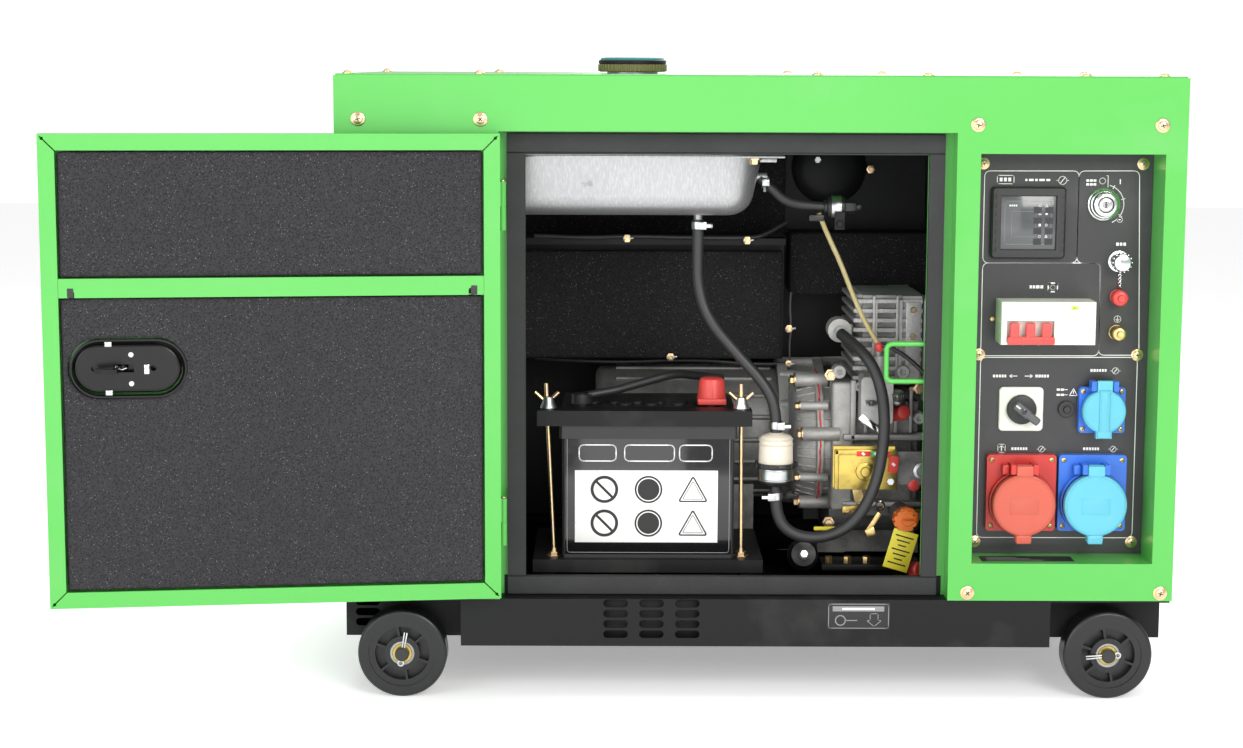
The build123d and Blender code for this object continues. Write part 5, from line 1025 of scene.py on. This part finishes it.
wire("sideCable", [(60, 322, 436), (58, 321, 420), (61, 322, 392), (58, 321, 368), (60, 322, 340)], 1.4,
    greyPlastic)
wire("loomBack", [(-262, 320, 352), (-180, 316, 346), (-60, 314, 352), (20, 318, 344), (58, 322, 346)], 2.4,
    hoseBlack)
ties = bmesh.new()
for x, y, z in ((-147, 284, 506), (2, 284, 504), (58, 320, 390), (58, 320, 345), (-92, 292, 357)):
    turned(ties, [(0, 6.0), (2.4, 6.0), (2.7, 5.6), (2.7, 3.4), (4.0, 3.2), (4.0, 0.8), (5.2, 0.6), (5.2, 0),
        (0, 0)], (x, y, z), sides=6)
    rod(ties, (x - 5, y - 2, z - 1.5), (x + 8, y - 2, z + 1.0), 1.5, bevel=0.4, sides=10, index=1)
turned(ties, [(0, 7.5), (3.2, 7.5), (3.6, 7), (3.6, 4.2), (5.4, 4.0), (5.4, 0), (0, 0)], (164, 385, 588),
    sides=6)
put("cableTies", ties, [yellowZinc, zinc])
shape = bmesh.new()
turned(shape, [(0, 14), (30, 12), (44, 6), (48, 0), (0, 0)], (112, 396, 590), sides=48)
turned(shape, [(0, 6), (4, 6), (4.6, 5), (4.6, 0), (0, 0)], (96, 384, 600), sides=6, index=1)
put("airDome", shape, [satinBlack, zinc])
print("engine ready")

# door latch: a black collar round the pocket, spring and tabs on the handle
latch = bmesh.new()


def stadium(x, z, length, height, steps=16):
    reach = (length - height) / 2
    half = height / 2
    right = [(x + reach + half * cos(t), z + half * sin(t)) for t in (radians(-90 + 180 * i / steps) for i in range(steps + 1))]
    left = [(x - reach + half * cos(t), z + half * sin(t)) for t in (radians(90 + 180 * i / steps) for i in range(steps + 1))]
    return right + left


collar = {"x": 125.2, "z": 387.2, "reach": 31.0, "rise": 32.2, "low": 2.2, "high": 15.0, "lipHigh": 17.7}
edge = stadium(collar["x"], collar["z"], 2 * (collar["reach"] + collar["rise"]), 2 * collar["rise"])
outline = [latch.verts.new(spot(x, collar["low"], z)) for x, z in edge]
loop = [latch.edges.new(pair) for pair in zip(outline, outline[1:] + outline[:1])]
for rise, squeeze in ((collar["high"] - collar["low"], 1.0), (0.0, 0.97),
    (collar["lipHigh"] - collar["high"], 0.962)):
    grown = bmesh.ops.extrude_edge_only(latch, edges=loop)["geom"]
    loop = [item for item in grown if isinstance(item, bmesh.types.BMEdge)]
    moved = [item for item in grown if isinstance(item, bmesh.types.BMVert)]
    bmesh.ops.translate(latch, vec=(0, rise, 0), verts=moved)
    bmesh.ops.scale(latch, vec=(squeeze, 1, squeeze ** 2), verts=moved,
        space=Matrix.Translation(-spot(collar["x"], 0, collar["z"])))
for z0, z1 in ((412, 417.5), (358.5, 364)):
    block(latch, (142.5, 150), (17.4, 19.6), (z0, z1), bevel=0.5, index=1)
block(latch, (102.5, 108), (17.6, 19.2), (381.5, 392), bevel=0.5, index=2)
for z in (403, 371):
    turned(latch, [(0, -1.2), (2.8, -1.2), (2.8, 0.4), (0, 0.6)], (122, 18.2, z), (0, 1, 0), 20, 1)
for x in (185, -254):
    block(latch, (x - 3.9, x + 3.9), (19.0, 21.15), (465.8, 477.0), bevel=0.9, steps=3, index=3)
put("latchCollar", latch, [pocketBlack, zinc, chrome, mattBlack], body="door",
    place=openDoor)

spring = bmesh.new()
for turn in range(4):
    turned(spring, [(3.0, -0.5), (4.0, -0.4), (4.0, 0.4), (3.0, 0.5), (3.0, -0.5)],
        (133 + turn * 2.0, 13.0, 388), (1, 0, 0), 20)
rod(spring, (133, 15.2, 386), (127, 14.6, 388), 0.9, sides=10)
put("latchSpring", spring, chrome, body="door_handle", place=openDoor)

# wheels: bearing ring, washer and bent split pin on every axle end
hub = bmesh.new()
pinTurns = {(-404, 0): 0.14, (404, 0): -1.68, (-404, 540): 0.4, (404, 540): 1.1}
for (x, face), turn in pinTurns.items():
    out = -1 if face == 0 else 1
    base = face - out * 3.4
    turned(hub, [(11.4, 0), (14.6, 0), (15.2, 0.8), (14.8, 1.9), (13.8, 2.3), (11.4, 2.0)], (x, base, 51),
        (0, out, 0), 40, 1)
    turned(hub, [(8.1, 0.6), (10.9, 0.6), (11.2, 1.8), (10.8, 2.6), (8.1, 2.6)], (x, base, 51), (0, out, 0),
        40, 2)
    turned(hub, [(0, 9.4), (6.6, 9.4), (8.0, 8.2), (8.0, -12)], (x, base, 51), (0, out, 0), 32, 3)
    legTurn = Matrix.Rotation(turn, 4, "Y")
    for side in (-1, 1):
        low, high = legTurn @ Vector((side * 1.1, 0, -9)), legTurn @ Vector((side * 1.5 + 1.2, 0, 26))
        rod(hub, (x + low.x, face + out * 3.0, 51 + low.z), (x + high.x, face + out * 3.6, 51 + high.z), 1.0,
            bevel=0.4, sides=10)
    ring = legTurn @ Vector((0, 0, -10.5))
    turned(hub, [(2.2, -1.0), (3.9, -0.9), (3.9, 0.9), (2.2, 1.0), (2.2, -1.0)],
        (x + ring.x, face + out * 3.0, 51 + ring.z), sides=20)
for x in (-404, 404):
    rod(hub, (x, 8, 51), (x, 532, 51), 7.95, sides=32, index=3)
put("axleTrim", hub, [zinc, castAlloy, goldZinc, mattBlack], hides=("axles",))
# dark sheets just behind the slots in the base's front and rear skirts: painted shade of the base's dim inside
slotShadeWork = bmesh.new()
block(slotShadeWork, (40, 200), (524, 527), (64, 113), bevel=0.6)
block(slotShadeWork, (-200, -40), (14, 17), (64, 113), bevel=0.6)
put("slotShadeSheets", slotShadeWork, satinBlack)

# fuel cap: a knurled ring with a dark band under a rough top
lidWork = bmesh.new()
turned(lidWork, [(28, 0), (38.5, 0), (39.6, 0.8), (39.6, 8.6), (38.6, 9.2)], (-142, 200, 711.2), (0, 0, 1), 72)
for side in range(48):
    angle = 2 * pi * side / 48
    rod(lidWork, (-142 + 39.6 * cos(angle), 200 + 39.6 * sin(angle), 712),
        (-142 + 39.6 * cos(angle), 200 + 39.6 * sin(angle), 720), 1.3, bevel=0.4, sides=8)
turned(lidWork, [(38.6, 9.0), (40.2, 9.6), (40.2, 13.0), (38.4, 14.0)], (-142, 200, 711.2), (0, 0, 1), 72, 1)
turned(lidWork, [(38.5, 13.6), (37.0, 16.2), (30, 17.2), (14, 17.6), (0, 17.6)], (-142, 200, 711.2),
    (0, 0, 1), 72, 2)
put("fuelCap", lidWork, [olivePlastic, satinBlack, tealPlastic], body="fuel_cap",
    hides=("fuel_cap",))

# plain stickers: one on the skirt, one on the bay's floor
sticker = bmesh.new()
block(sticker, (82, 153.5), (1.55, 2.1), (80.5, 111.5), bevel=0.2, index=2)
stroke(sticker, softPath([(83.5, 110), (152, 110), (152, 82), (83.5, 82)], 3), 0.8, 1.5, True, 0.12, 0)
block(sticker, (88, 147), (1.4, 1.7), (101.5, 107.5), bevel=0.25, index=0)
block(sticker, (99, 136), (1.3, 1.5), (103.4, 105.6), bevel=0.1, index=1)
turned(sticker, [(5.0, 0), (6.2, 0), (6.2, 0.2), (5.0, 0.2), (5.0, 0)], (97, 1.6, 91), sides=32, index=0)
stroke(sticker, [(104, 91), (116, 91)], 1.0, 1.5, thick=0.12, index=0)
stroke(sticker, softPath([(131, 99), (140, 99), (140, 91), (144, 91), (135.5, 84), (127, 91), (131, 91)],
    0.6), 0.8, 1.5, True, 0.12, 0)
block(sticker, (259, 365), (13, 40), (157.9, 158.45), bevel=0.15, index=2)
for row in range(3):
    block(sticker, (266, 330 - 14 * row), (17 + row * 7, 19 + row * 7), (158.4, 158.6), index=3)
put("blankStickers", sticker, [greyInk, whiteInk, blackInk, greyInk])
print("details ready")


# camera, lights and floor
view = {"place": (-0.16265, -2.87384, 0.72315), "yaw": 0.0032, "pitch": 0.1331, "roll": 0.0039, "lens": 67.57}
ahead = Vector((sin(view["yaw"]) * cos(view["pitch"]), cos(view["yaw"]) * cos(view["pitch"]),
    -sin(view["pitch"])))
right = Vector((cos(view["yaw"]), -sin(view["yaw"]), 0))
up = right.cross(ahead)
side = cos(view["roll"]) * right + sin(view["roll"]) * up
top = cos(view["roll"]) * up - sin(view["roll"]) * right
camera = bpy.data.objects.new("camera", bpy.data.cameras.new("camera"))
camera.data.lens = view["lens"]
camera.data.sensor_width = 36
camera.matrix_world = Matrix.Translation(view["place"]) @ Matrix((side, top, -ahead)).transposed().to_4x4()
bpy.context.scene.collection.objects.link(camera)
bpy.context.scene.camera = camera

lights = {
    # name: place, target, size, watts, colour
    "keyBox": ((1.2, -3.1, 1.8), (0.0, -0.2, 0.35), 1.5, 60, (1.0, 0.985, 0.96)),
    "fillBox": ((-2.3, -2.5, 1.3), (0.1, -0.2, 0.35), 2.2, 42, (0.96, 0.98, 1.0)),
    "topBox": ((0.0, 0.5, 2.9), (0.0, 0.2, 0.3), 2.6, 34, (1.0, 1.0, 1.0)),
    "lowBox": ((-0.3, -3.0, 0.5), (0.0, -0.2, 0.35), 1.6, 12, (1.0, 1.0, 1.0)),
    "backBox": ((0.8, 2.8, 2.0), (0.0, 0.2, 0.35), 2.4, 50, (1.0, 1.0, 1.0)),
}
for name, (place, target, size, watts, colour) in lights.items():
    lamp = bpy.data.lights.new(name, "AREA")
    lamp.size = size
    lamp.energy = watts
    lamp.color = colour
    holder = bpy.data.objects.new(name, lamp)
    holder.location = place
    holder.rotation_euler = (Vector(target) - Vector(place)).to_track_quat("-Z", "Y").to_euler()
    bpy.context.scene.collection.objects.link(holder)
world = bpy.data.worlds.new("studio")
world.use_nodes = True
tree = world.node_tree
sky = tree.nodes["Background"]
sky.inputs["Color"].default_value = (1, 1, 1, 1)
seen = tree.nodes.new("ShaderNodeLightPath")
glow = tree.nodes.new("ShaderNodeMapRange")
glow.inputs["To Min"].default_value = 0.62
glow.inputs["To Max"].default_value = 1.15
tree.links.new(seen.outputs["Is Camera Ray"], glow.inputs["Value"])
tree.links.new(glow.outputs["Result"], sky.inputs["Strength"])
bpy.context.scene.world = world
bpy.context.scene.view_settings.view_transform = "Standard"

floorWork = bmesh.new()
bmesh.ops.create_grid(floorWork, x_segments=2, y_segments=2, size=9)
floorMesh = bpy.data.meshes.new("floor")
floorWork.to_mesh(floorMesh)
floorWork.free()
floor = bpy.data.objects.new("floor", floorMesh)
bpy.context.scene.collection.objects.link(floor)
paint = Finish("paleFloor")
paint.set(Base_Color=paint.mix(paint.noise(3, 3.0), (0.97, 0.97, 0.97), (0.94, 0.94, 0.94)),
    Roughness=0.6 + paint.noise(6) * 0.1)
paint.shader.inputs["Emission Color"].default_value = (1, 1, 1, 1)
paint.shader.inputs["Emission Strength"].default_value = 0.34
floorMesh.materials.append(paint.material)
print("camera and lights ready")
